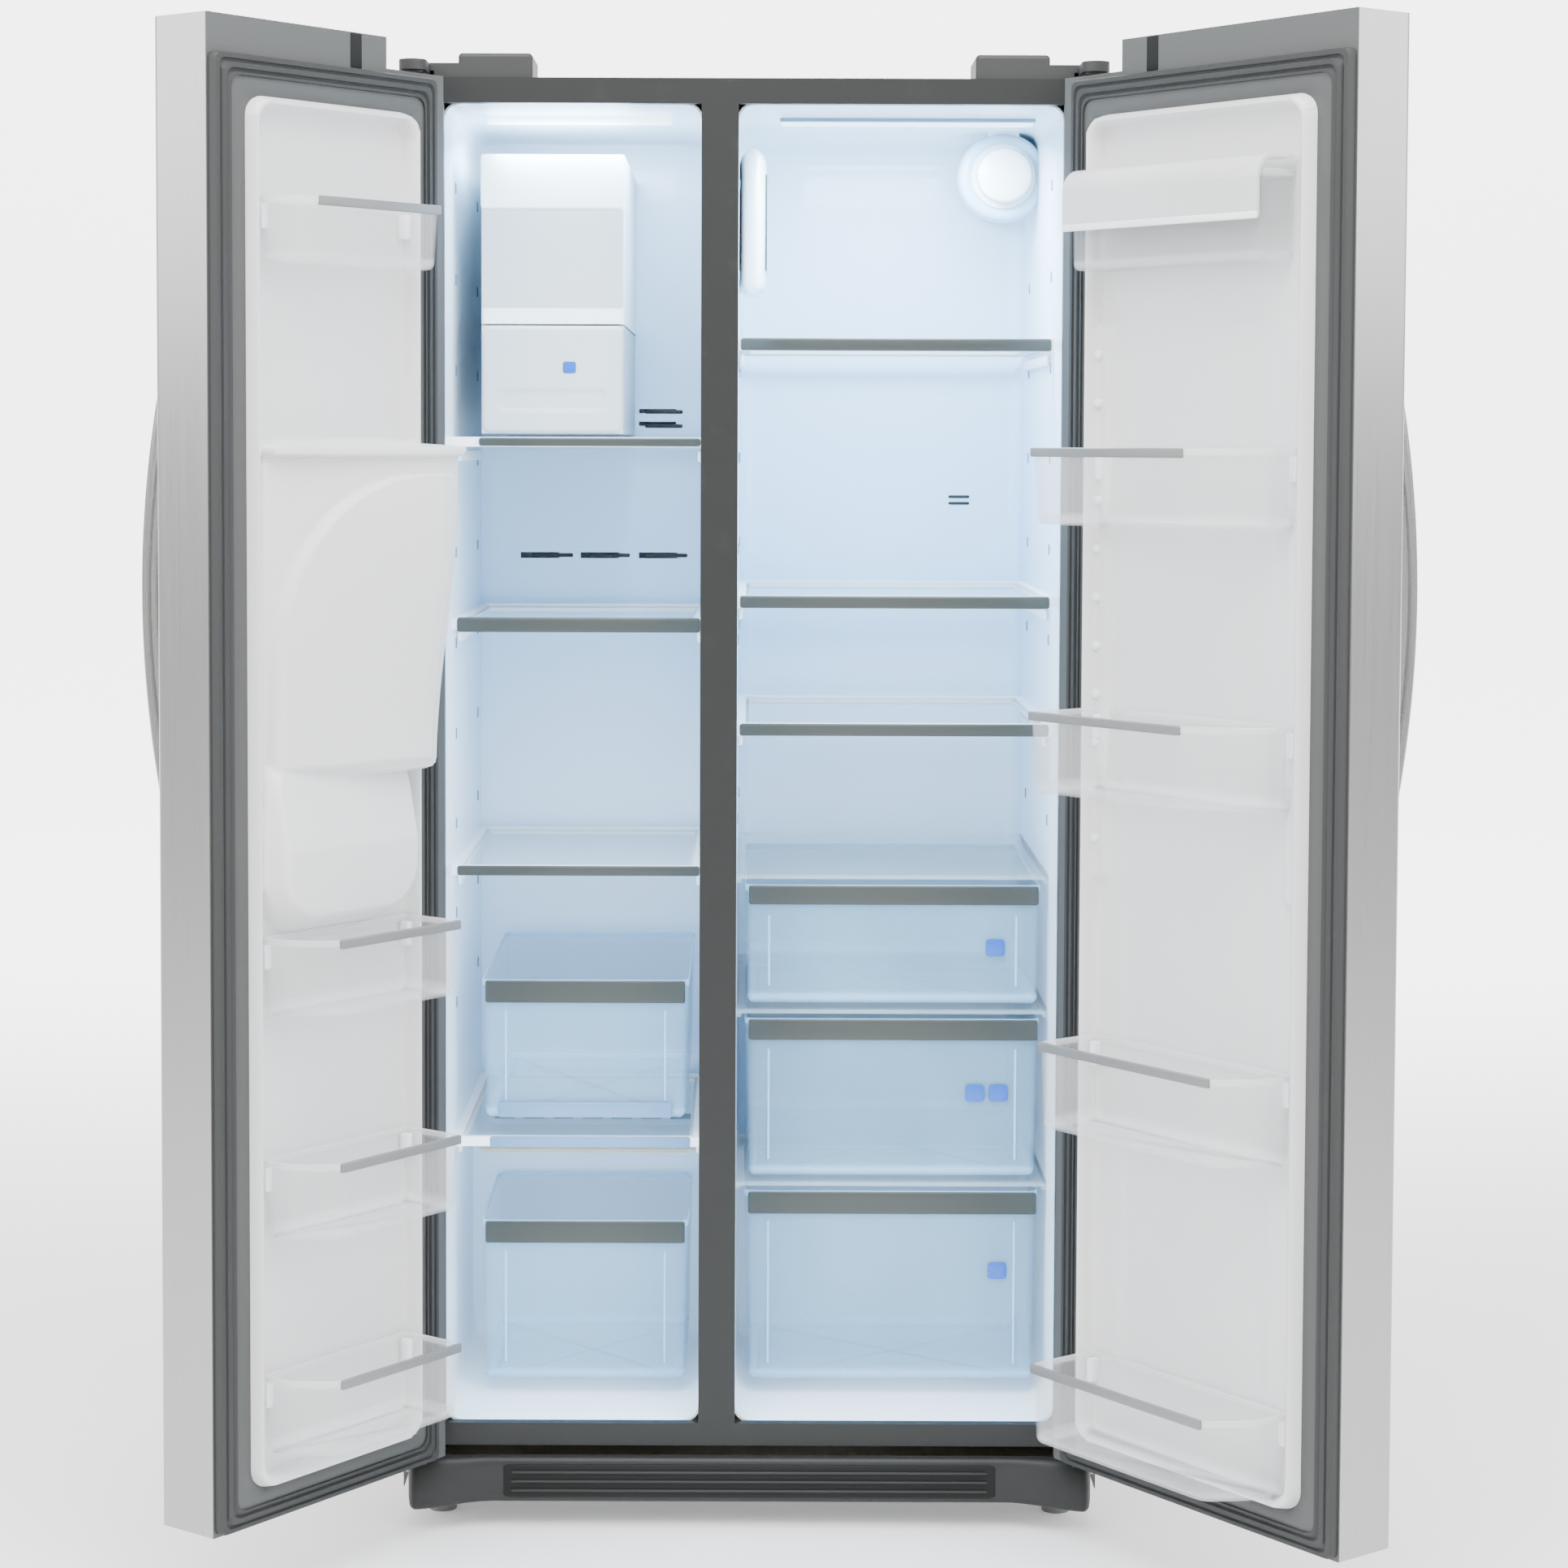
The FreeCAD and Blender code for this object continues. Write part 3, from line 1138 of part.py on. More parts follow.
def machinery():
    """Compressor, condenser and their neighbours behind the rear cover."""
    top = size["floor_pan"] + size["pan_sheet"]
    deep = size["machine_front"]
    centre = (169 - HALF, deep + 135)
    shell = rod("compressor_shell", "z", (*centre, top + 12), 78, 130)
    dome = rounded("compressor_dome", shell, 34, lambda e: e.Curve.TypeId == "Part::GeomCircle")
    plate = box("compressor_plate", (centre[0] - 95, centre[0] + 95),
                (centre[1] - 60, centre[1] + 60), (top + 10, top + 16))
    feet = [rod("compressor_foot", "z", (centre[0] + sx * 80, centre[1] + sy * 46, top), 9, 12)
            for sx in (-1, 1) for sy in (-1, 1)]
    stub = rod("compressor_stub", "z", (centre[0] + 40, centre[1], top + 100), 5, 70)
    node("compressor", fuse("compressor", [dome, plate, stub] + feet))

    fins = [box("condenser_fin", (20 + 10 * i, 21 + 10 * i), (deep + 60, deep + 180), (top + 60, top + 190))
            for i in range(16)]
    tubes = [rod("condenser_tube", "x", (8, deep + 75 + 45 * j, top + 75 + 32 * i), 4, 176)
             for i in range(4) for j in range(3)]
    stand = [box("condenser_stand", (x, x + 3), (deep + 60, deep + 180), (top, top + 200)) for x in (8, 181)]
    node("condenser_coil", fuse("condenser_coil", fins + tubes + stand))

    fan_centre = (number(-75), deep + 90, top + 110)
    motor = rod("fan_motor", "y", (fan_centre[0], deep + 120, fan_centre[2]), 26, 40)
    spindle = rod("fan_spindle", "y", (fan_centre[0], deep + 96, fan_centre[2]), 3, 30)
    leg_ys = (deep + 84, deep + 138)
    arms = [box("fan_arm", (fan_centre[0] - 78, fan_centre[0] + 78), (deep + 132, deep + 138),
                (fan_centre[2] - 5, fan_centre[2] + 5)),
            box("fan_leg", (fan_centre[0] - 78, fan_centre[0] - 70), leg_ys,
                (top, fan_centre[2] + 80)),
            box("fan_leg", (fan_centre[0] + 70, fan_centre[0] + 78), leg_ys,
                (top, fan_centre[2] + 80))]
    warm_motor = fuse("condenser_fan_motor", [motor, spindle] + arms)
    node("condenser_fan", fan("condenser_fan", (fan_centre[0], deep + 86, fan_centre[2]),
                              number(62), number(18), number(3.4), number(20)))

    cold = (COLD_LEFT + 155, size["cooler_cover"] + 6, STEP_TOP + 638)
    node("evaporator_fan", fan("evaporator_fan", cold, size["fan_radius"], size["fan_hub"],
                               number(3.4), number(16)))
    motor = rod("cold_motor", "y", (cold[0], cold[1] + 20, cold[2]), 22, 24)
    spindle = rod("cold_spindle", "y", (cold[0], cold[1] + 1, cold[2]), 3, 22)
    plate = box("cold_motor_plate", (cold[0] - 70, cold[0] + 70),
                (cold[1] + 38, LINER_BACK), (cold[2] - 8, cold[2] + 8))
    cold_motor = fuse("evaporator_fan_motor", [motor, spindle, plate])
    node("fan_motors", group("fan_motors", [warm_motor, cold_motor]))

    pan = tray("drain_pan", corners((HALF - 214, HALF - 24), (deep + 60, deep + 210)),
               corners((HALF - 211, HALF - 27), (deep + 63, deep + 207)),
               (top, top + 42), 3, number(14), number(3))
    node("drain_pan", pan)

    cover = plate_xz("machine_plate", [corners((-HALF + SHEET + 1, HALF - SHEET - 1),
                                               (top + 2, size["machine_top"] - 1))],
                     (CAB_BACK - 6, CAB_BACK - 4))
    vents = [box("vent", (x0, x0 + 150), (CAB_BACK - 8, CAB_BACK), (z0, z0 + 7))
             for x0 in (39 - HALF, -80, 60) for z0 in range(110, 300, 18)]
    valve_x = HALF - size["valve_side"]
    valve_z = size["valve_height"]
    valve_radius = size["valve_radius"]
    vents.append(rod("valve_way", "y", (valve_x, CAB_BACK - 8, valve_z), valve_radius * 2.4, 6))
    node("machine_cover", cut("machine_cover", cover, vents))
    body = box("valve_body", (valve_x - 22, valve_x + 22), (CAB_BACK - 48, CAB_BACK - 8),
               (valve_z - 16, valve_z + 20))
    coil_can = rod("valve_coil", "z", (valve_x, CAB_BACK - 30, valve_z + 20), 14, 34)
    neck = rod("valve_inlet", "y", (valve_x, CAB_BACK - 9, valve_z), valve_radius, 9)
    node("water_valve", cut("water_valve", fuse("valve_all", [body, coil_can, neck]),
                            [rod("valve_bore", "y", (valve_x, CAB_BACK - 20, valve_z), 3.2, 30)]))
    socket_x = valve_x - 75
    inlet = box("inlet_block", (socket_x - 20, socket_x + 20), (CAB_BACK - 34, CAB_BACK - 6.2),
                (250, 282))
    well = box("inlet_well", (socket_x - 15, socket_x + 15), (CAB_BACK - 26, CAB_BACK), (255, 277))
    blades = [box("inlet_blade", (socket_x + x, socket_x + x + 2), (CAB_BACK - 27, CAB_BACK - 12),
                  (262, 268)) for x in (-8, -1, 6)]
    node("power_inlet", fuse("power_inlet", [cut("inlet_shell", inlet, [well])] + blades))


def fridge_fittings():
    tower = box("tower_block", (COOL_LEFT, COOL_LEFT + 34), (210, 420),
                (OPEN_TOP - 214, OPEN_TOP - 32))
    soft = rounded("tower_soft", tower, 24, lambda e: along("x")(e))
    slots = [box("tower_slot", (COOL_LEFT + 26, COOL_LEFT + 40), (250, 380),
                 (OPEN_TOP - drop, OPEN_TOP - drop + 6)) for drop in (164, 144, 104, 84)]
    node("air_duct_tower", cut("air_duct_tower", soft, slots))

    lights = [box("fridge_light", (COOL_LEFT + 52, COOL_RIGHT - 24), (150, 192), (OPEN_TOP - 9, OPEN_TOP)),
              box("freezer_light", (COLD_LEFT + 40, COLD_RIGHT - 40), (150, 180),
                  (OPEN_TOP - 9, OPEN_TOP))]
    soft_lights = [rounded("light_soft", lamp, 5, lambda e: along("x")(e)
                           and e.Vertexes[0].Point.z < float(OPEN_TOP) - 5) for lamp in lights]
    node("light_bar", group("light_bar", soft_lights))

    radius = size["filter_radius"]
    x = COOL_RIGHT - size["filter_side_gap"] - radius
    z = OPEN_TOP - size["filter_top_gap"] - radius
    front = size["filter_front"]
    sleeve = rod("filter_sleeve", "y", (x, front + 24, z), radius + 9, 230)
    bore = rod("filter_bore", "y", (x, front + 20, z), radius + size["filter_play"], 226)
    hanger = box("filter_hanger", (x - 20, x + 20), (front + 30, front + 240), (z, OPEN_TOP))
    node("filter_housing", cut("filter_housing", fuse("filter_outer", [sleeve, hanger]), [bore]))
    can = rod("filter_can", "y", (x, front + 20, z), radius, 212)
    cap = rod("filter_cap", "y", (x, front, z), radius + 3, 20)
    cap_soft = rounded("filter_cap_soft", cap, 6, lambda e: e.Curve.TypeId == "Part::GeomCircle"
                       and e.Vertexes[0].Point.y < float(front) + 1)
    notch = box("filter_grip", (x - 26, x + 26), (front - 1, front + 6), (z - 5, z + 5))
    node("filter_cartridge", cut("filter_cartridge", fuse("filter_all", [can, cap_soft]), [notch]))


cabinet()
base()
toe_grille()
hinges()
freezer_door()
fridge_door()
fridge_inside()
freezer_inside()
machinery()
fridge_fittings()
doc.recompute()

problems = []
for thing in doc.Objects:
    if "Invalid" in thing.State or "Error" in thing.State:
        problems.append(f"{thing.Label}: {thing.State}")
for thing in nodes:
    if thing.Shape.isNull() or not thing.Shape.isValid() or not thing.Shape.Solids:
        problems.append(f"{thing.Label}: bad shape")
if problems:
    raise RuntimeError("; ".join(problems))

os.makedirs("parts", exist_ok=True)
for thing in nodes:
    thing.Shape.exportStep(os.path.join("parts", thing.Label + ".step"))
print(len(nodes), "sub-parts")
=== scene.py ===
import json
import math

import bmesh
import bpy
import numpy as np
from bpy.props import FloatProperty, FloatVectorProperty, IntProperty, PointerProperty
from bpy.types import Operator, Panel, PropertyGroup
from mathutils import Matrix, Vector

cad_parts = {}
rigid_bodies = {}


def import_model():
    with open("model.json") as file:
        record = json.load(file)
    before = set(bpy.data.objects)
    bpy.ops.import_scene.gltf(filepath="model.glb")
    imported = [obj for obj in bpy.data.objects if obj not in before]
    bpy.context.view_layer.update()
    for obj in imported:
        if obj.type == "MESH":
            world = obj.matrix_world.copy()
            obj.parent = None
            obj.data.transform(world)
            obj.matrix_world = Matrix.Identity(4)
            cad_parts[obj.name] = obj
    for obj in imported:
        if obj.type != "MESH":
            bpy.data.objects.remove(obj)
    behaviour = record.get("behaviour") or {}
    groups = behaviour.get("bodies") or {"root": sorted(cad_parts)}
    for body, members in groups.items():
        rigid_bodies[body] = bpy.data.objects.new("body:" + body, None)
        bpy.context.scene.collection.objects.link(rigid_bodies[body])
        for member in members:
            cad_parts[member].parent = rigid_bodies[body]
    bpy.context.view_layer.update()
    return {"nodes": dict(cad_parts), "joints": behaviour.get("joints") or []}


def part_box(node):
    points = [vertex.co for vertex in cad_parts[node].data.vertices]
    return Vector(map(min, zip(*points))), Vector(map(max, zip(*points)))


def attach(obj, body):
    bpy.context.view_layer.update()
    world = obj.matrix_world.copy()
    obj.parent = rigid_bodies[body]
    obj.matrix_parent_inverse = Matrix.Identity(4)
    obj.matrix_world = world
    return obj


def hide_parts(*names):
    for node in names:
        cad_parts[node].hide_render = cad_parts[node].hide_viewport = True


bl_info = {
    "name": "Side-by-side refrigerator",
    "version": (1, 0, 0),
    "blender": (4, 5, 0),
    "location": "3D View > Sidebar > Refrigerator",
    "description": "Builds the visible pieces of a two-door refrigerator round its CAD frame",
    "category": "Object",
}

for left_over in list(bpy.data.objects):
    bpy.data.objects.remove(left_over)
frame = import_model()
NODES = frame["nodes"]
MM = 0.001


# ------------------------------------------------------------------ the doors' own frames

class Door:
    """A door's frame when shut: d from its hinge edge to its free edge, y to the back, z up."""

    def __init__(self, name):
        joint = next(j for j in frame["joints"] if j["name"] == name + "_hinge")
        self.body = name
        self.pin = np.array(joint["pos_m"][:2])
        self.turn = math.radians(-joint["axis"][2] * joint["range_deg"][0])
        self.side = -math.copysign(1, joint["pos_m"][0])
        self.edge = abs(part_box("cabinet_shell")[0].x)

    def spin(self, flat, angle):
        """Plan points turned about the pin: the offset from the pin times a rotation."""
        c, s = math.cos(angle), math.sin(angle)
        return (flat - self.pin) @ np.array([[c, s], [-s, c]]) + self.pin

    def rest(self, points):
        """Shut-door points (d, y, z) in metres to the open rest pose."""
        points = np.asarray(points, float)
        flat = np.stack([(points[..., 0] - self.edge) * self.side, points[..., 1]], -1)
        return np.concatenate([self.spin(flat, self.turn), points[..., 2:]], -1)

    def shut(self, points):
        """The way back from the rest pose to (d, y, z)."""
        points = np.asarray(points, float)
        flat = self.spin(points[..., :2], -self.turn)
        d = flat[..., 0] * self.side + self.edge
        return np.stack([d, flat[..., 1], points[..., 2]], -1)

    def box(self, node):
        """Lowest and highest (d, y, z) of a CAD node of this door."""
        flat = np.empty(len(NODES[node].data.vertices) * 3)
        NODES[node].data.vertices.foreach_get("co", flat)
        places = self.shut(flat.reshape(-1, 3))
        return places.min(0), places.max(0)


FREEZER = Door("freezer_door")
FRIDGE = Door("fridge_door")


def box(node):
    return tuple(np.array(corner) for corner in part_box(node))


# ------------------------------------------------------------------ surfaces

def soft_corners(points, cut, steps=6):
    """A closed path through a polygon whose corners become parabolas:
    start times (1-t)^2, corner times 2t(1-t), end times t^2."""
    p = np.asarray(points, float)
    cut = np.broadcast_to(np.asarray(cut, float), (len(p),))[:, None]
    before = np.roll(p, 1, 0) - p
    after = np.roll(p, -1, 0) - p
    a = p + before / np.linalg.norm(before, axis=1, keepdims=True) * cut
    b = p + after / np.linalg.norm(after, axis=1, keepdims=True) * cut
    t = np.linspace(0, 1, steps)[None, :, None]
    path = a[:, None] * (1 - t) ** 2 + p[:, None] * 2 * t * (1 - t) + b[:, None] * t ** 2
    return path.reshape(-1, 2)


def rings(plan, insets, heights):
    """Sections of a closed plan that runs anticlockwise: section i is the plan moved inwards by
    inset i along its normals, at height i. Gives an array of (section, point, xyz)."""
    along = np.roll(plan, -1, 0) - np.roll(plan, 1, 0)
    along /= np.linalg.norm(along, axis=1, keepdims=True)
    inward = np.stack([-along[:, 1], along[:, 0]], 1)
    insets = np.asarray(insets, float)[:, None, None]
    flat = plan[None] + inward[None] * insets
    tall = np.broadcast_to(np.asarray(heights, float)[:, None, None], flat.shape[:2] + (1,))
    return np.concatenate([flat, tall], 2)


def bar(low, high, axis=0, power=4.0, end=2 * MM, around=28):
    """A bar between two corners. Its section is the superellipse |a|^p + |b|^p = 1, and it closes
    at both ends on a quarter circle of radius end."""
    low, high = np.asarray(low, float), np.asarray(high, float)
    first, second = [i for i in range(3) if i != axis]
    t = np.linspace(0, np.pi / 2, 4)
    run = np.concatenate([low[axis] + end * (1 - np.cos(t)),
                          high[axis] - end * (1 - np.cos(t[::-1]))])
    less = end * (1 - np.sin(np.concatenate([t, t[::-1]])))
    turn = np.linspace(0, 2 * np.pi, around, endpoint=False)
    wave = [np.sign(f(turn)) * np.abs(f(turn)) ** (2 / power) for f in (np.cos, np.sin)]
    out = np.empty((len(run), around, 3))
    out[..., axis] = run[:, None]
    for i, shape in ((first, wave[0]), (second, wave[1])):
        half = np.maximum((high[i] - low[i]) / 2 - less, 1e-5)
        out[..., i] = (high[i] + low[i]) / 2 + half[:, None] * shape
    return out


def tray(plan, low, high, wall, foot, draft, lip=0.0):
    """An open box: sections go from under the floor round the foot, up the outside, over the rim
    and down the inside. Gives the sections and how near each is to an edge, from 0 to 1."""
    t = np.linspace(0, np.pi / 2, 5)
    steps = [(foot * (1 - math.sin(a)) + draft, low + foot * (1 - math.cos(a)), 0.55) for a in t]
    steps += [(draft * 0.95, low + foot + 4 * MM, 0.0), (draft * 0.1, high - 9 * MM, 0.0)]
    steps += [(-lip, high - 6 * MM, 1.0), (-lip, high - 0.6 * MM, 1.0), (0.3 * wall, high, 1.0)]
    steps += [(0.8 * wall, high, 1.0), (wall, high - 0.6 * MM, 1.0), (wall, high - 7 * MM, 0.3)]
    steps += [(wall, high - 9 * MM, 0.0), (wall + draft, low + foot + wall + 4 * MM, 0.0)]
    steps += [(wall + draft + foot * (1 - math.sin(a)), low + wall + foot * (1 - math.cos(a)), 0.4)
              for a in t[::-1]]
    steps += [(steps[-1][0] + 3 * MM, steps[-1][1], 0.0)]
    steps = [(steps[0][0] + 3 * MM, low, 0.0)] + steps
    inset, height, near = (np.array(column) for column in zip(*steps))
    return rings(plan, inset, height), near


def revolve(profile, centre, axis, around=48):
    """A profile of (distance along the axis, radius) turned once about an axis through centre."""
    profile = np.asarray(profile, float)
    first, second = [i for i in range(3) if i != axis]
    turn = np.linspace(0, 2 * np.pi, around, endpoint=False)
    out = np.empty((len(profile), around, 3))
    out[..., axis] = centre[axis] + profile[:, :1]
    out[..., first] = centre[first] + profile[:, 1:] * np.cos(turn)
    out[..., second] = centre[second] + profile[:, 1:] * np.sin(turn)
    return out


def carried(profile, places, axis):
    """A closed profile in the other two axes, repeated at each place along one axis."""
    profile = np.asarray(profile, float)
    first, second = [i for i in range(3) if i != axis]
    out = np.empty((len(places), len(profile), 3))
    out[..., axis] = np.asarray(places, float)[:, None]
    out[..., first] = profile[None, :, 0]
    out[..., second] = profile[None, :, 1]
    return out


def mesh_of(sections):
    """Vertices and faces of sections: a square for each step, and one face over each end."""
    rows, cols = sections.shape[:2]
    index = np.arange(rows * cols).reshape(rows, cols)
    side = np.roll(index, -1, 1)
    quads = np.stack([index[:-1], side[:-1], side[1:], index[1:]], -1).reshape(-1, 4)
    caps = [index[0][::-1].tolist(), index[-1].tolist()]
    return sections.reshape(-1, 3), quads.tolist() + caps


def relief(door, d, z, height, back):
    """A moulded panel: height above the door's inner face for each d and z, with its edges taken
    back to a flat rear face."""
    grid_d, grid_z = np.meshgrid(d, z)
    front = np.stack([grid_d, height(grid_d, grid_z), grid_z], -1)
    rows, cols = grid_d.shape
    index = np.arange(rows * cols).reshape(rows, cols)
    quads = np.stack([index[:-1, :-1], index[:-1, 1:], index[1:, 1:], index[1:, :-1]], -1)
    loop = np.concatenate([index[0], index[1:, -1], index[-1, -2::-1], index[-2:0:-1, 0]])
    rear = front.reshape(-1, 3)[loop]
    rear[:, 1] = back
    second = rows * cols + np.arange(len(loop))
    skirt = np.stack([loop, np.roll(loop, -1), np.roll(second, -1), second], -1)
    points = door.rest(np.concatenate([front.reshape(-1, 3), rear]))
    return points, quads.reshape(-1, 4).tolist() + skirt.tolist() + [second.tolist()]


def patch(d, z, low, high, radius, soft):
    """1 inside a round-cornered rectangle and 0 outside, with a smooth step of that width. The
    distance to the outline is the length of what reaches past the corner centres, less the
    radius."""
    middle = [(low[i] + high[i]) / 2 for i in range(2)]
    half = [(high[i] - low[i]) / 2 - radius for i in range(2)]
    a = np.abs(d - middle[0]) - half[0]
    b = np.abs(z - middle[1]) - half[1]
    gap = np.hypot(np.maximum(a, 0), np.maximum(b, 0)) + np.minimum(np.maximum(a, b), 0) - radius
    t = np.clip(0.5 - gap / soft, 0, 1)
    return t * t * (3 - 2 * t)


def piece(name, parts, body, material, replaces=(), sharp=40, near=None):
    """One object at the origin from several closed surfaces, with its normals turned outwards."""
    points, faces, first = [], [], 0
    for part in parts:
        verts, shapes = mesh_of(part) if isinstance(part, np.ndarray) else part
        points.append(verts)
        faces += [[first + i for i in shape] for shape in shapes]
        first += len(verts)
    mesh = bpy.data.meshes.new(name)
    mesh.from_pydata(np.concatenate(points).tolist(), [], faces)
    if near is not None:
        edge = mesh.attributes.new("edge", "FLOAT", "POINT")
        edge.data.foreach_set("value", np.concatenate(near).astype(np.float32))
    work = bmesh.new()
    work.from_mesh(mesh)
    bmesh.ops.recalc_face_normals(work, faces=work.faces)
    work.to_mesh(mesh)
    work.free()
    mesh.shade_smooth()
    mesh.set_sharp_from_angle(angle=math.radians(sharp))
    mesh.materials.append(material)
    made = bpy.data.objects.new(name, mesh)
    bpy.context.scene.collection.objects.link(made)
    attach(made, body)
    if replaces:
        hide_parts(*replaces)
    return made


# ------------------------------------------------------------------ shader expressions

class Wire:
    """A socket that stands in sums: each operator adds its own Math node."""

    def __init__(self, shade, socket):
        self.shade = shade
        self.socket = socket

    def join(self, operation, first, second):
        return self.shade.node("ShaderNodeMath", {"operation": operation}, {0: first, 1: second})

    def __add__(self, other):
        return self.join("ADD", self, other)

    def __rsub__(self, other):
        return self.join("SUBTRACT", other, self)

    def __mul__(self, other):
        return self.join("MULTIPLY", self, other)

    __radd__ = __add__
    __rmul__ = __mul__


class Shade:
    """A material being written: its Principled shader and the nodes that feed it."""

    def __init__(self, name, **constants):
        self.material = bpy.data.materials.new(name)
        self.material.use_nodes = True
        self.tree = self.material.node_tree
        self.shader = self.tree.nodes["Principled BSDF"]
        for socket, value in constants.items():
            self.set(socket.replace("_", " "), value)

    def set(self, socket, value):
        names = {"IOR": "IOR", "Specular": "Specular IOR Level"}
        key = names.get(socket, socket)
        self.feed(self.shader.inputs[key], value)

    def feed(self, socket, value):
        if isinstance(value, Wire):
            self.tree.links.new(value.socket, socket)
        elif isinstance(value, (tuple, list)) and socket.type == "RGBA" and len(value) == 3:
            socket.default_value = (*value, 1)
        else:
            socket.default_value = value

    def node(self, kind, settings, inputs, out=0):
        """Adds a node of a kind: settings first, then the values or links of its sockets."""
        made = self.tree.nodes.new(kind)
        stops = settings.pop("stops", None)
        for key, value in settings.items():
            setattr(made, key, value)
        if stops:
            ramp = made.color_ramp
            while len(ramp.elements) < len(stops):
                ramp.elements.new(0.5)
            for element, (place, colour) in zip(ramp.elements, stops):
                element.position = place
                element.color = (*colour, 1)
        for key, value in inputs.items():
            self.feed(made.inputs[key], value)
        return Wire(self, made.outputs[out])

    def place(self):
        return self.node("ShaderNodeTexCoord", {}, {}, "Object")

    def along(self, direction, offset=0.0):
        """Distance along a direction: the dot product with the place, plus an offset."""
        dot = self.node("ShaderNodeVectorMath", {"operation": "DOT_PRODUCT"},
                        {0: self.place(), 1: tuple(direction)}, "Value")
        return dot + offset

    def noise(self, stretch, detail=3.0, rough=0.5):
        """Noise on the place times a stretch for each axis."""
        where = self.node("ShaderNodeVectorMath", {"operation": "MULTIPLY"},
                          {0: self.place(), 1: tuple(stretch)})
        return self.node("ShaderNodeTexNoise", {}, {"Vector": where, "Scale": 1.0, "Detail": detail,
                                                    "Roughness": rough})

    def ramp(self, factor, stops):
        return self.node("ShaderNodeValToRGB", {"stops": stops}, {0: factor})

    def step(self, value, start, stop):
        """0 before start and 1 after stop, with a smooth change between."""
        return self.node("ShaderNodeMapRange", {"interpolation_type": "SMOOTHSTEP"},
                         {"Value": value, "From Min": start, "From Max": stop})

    def mix(self, factor, first, second):
        return self.node("ShaderNodeMix", {"data_type": "RGBA"}, {0: factor, 6: first, 7: second},
                         2)

    def bump(self, height, distance, strength=1.0):
        """Bump in metres of real height on the Normal socket."""
        normal = self.node("ShaderNodeBump", {}, {"Height": height, "Distance": distance,
                                                  "Strength": strength})
        self.set("Normal", normal)
        return self


def tone(colour, factor):
    return tuple(min(1.0, c * factor) for c in colour)


FINISH = {}


def plastic(name, colour, rough=0.35, grain=900, depth=0.04 * MM, mottle=0.04, **more):
    """Moulded plastic: a fine even grain, a slow mottle in its colour and uneven gloss."""
    shade = Shade(name, Roughness=rough, **more)
    slow = shade.noise((9, 9, 9), 2)
    fine = shade.noise((grain, grain, grain), 2)
    shade.set("Base Color", shade.mix(slow, tone(colour, 1 - mottle), tone(colour, 1 + mottle)))
    shade.set("Roughness", slow * 0.1 + (rough - 0.05) + fine * 0.05)
    shade.bump(fine, depth)
    FINISH[name] = shade.material
    return shade


def brushed(name, colour, lines, rough=0.3, metal=0.85, mask=None, other=None):
    """Brushed metal: noise drawn out along the grain changes its colour, gloss and bump. Where
    the mask is 1 it is the other, painted colour."""
    shade = Shade(name, Roughness=rough)
    grain = shade.noise(lines, 4, 0.65)
    slow = shade.noise((2.2, 2.2, 1.1), 2)
    steel = shade.mix(grain, tone(colour, 0.92), tone(colour, 1.06))
    steel = shade.mix(slow * 0.25, steel, tone(colour, 1.12))
    gloss = grain * 0.16 + (rough - 0.08)
    if mask is None:
        shade.set("Metallic", metal)
        shade.set("Base Color", steel)
        shade.set("Roughness", gloss)
    else:
        inner = mask(shade)
        shade.set("Metallic", (1 - inner) * metal)
        shade.set("Base Color", shade.mix(inner, steel, other))
        shade.set("Roughness", gloss + inner * 0.15)
    shade.bump(grain, 0.02 * MM)
    FINISH[name] = shade.material
    return shade


def paint(name, colour, rough=0.42, metal=0.0):
    """Sprayed enamel: orange-peel bump, and a little wear that lightens and dulls it."""
    shade = Shade(name, Roughness=rough, Metallic=metal, Specular=0.3)
    peel = shade.noise((420, 420, 420), 1)
    worn = shade.step(shade.noise((24, 24, 24), 6, 0.7), 0.56, 0.74)
    shade.set("Base Color", shade.mix(worn * 0.35, colour, tone(colour, 1.5)))
    shade.set("Roughness", worn * 0.12 + rough + peel * 0.05)
    shade.bump(peel, 0.05 * MM)
    FINISH[name] = shade.material
    return shade


def clear(name, colour, body_alpha, edge_alpha, rough=0.08, has_edge=True):
    """Clear moulding: see-through walls, with rims and feet that gather more colour."""
    shade = Shade(name, Roughness=rough, IOR=1.5)
    slow = shade.noise((7, 7, 5), 2)
    shade.set("Base Color", shade.mix(slow, tone(colour, 0.94), tone(colour, 1.06)))
    veil = slow * 0.06 + (body_alpha - 0.03)
    if has_edge:
        edge = shade.node("ShaderNodeAttribute", {"attribute_name": "edge"}, {}, "Fac")
        veil = veil + edge * (edge_alpha - body_alpha)
    shade.set("Alpha", veil)
    shade.set("Roughness", slow * 0.06 + rough)
    FINISH[name] = shade.material
    return shade


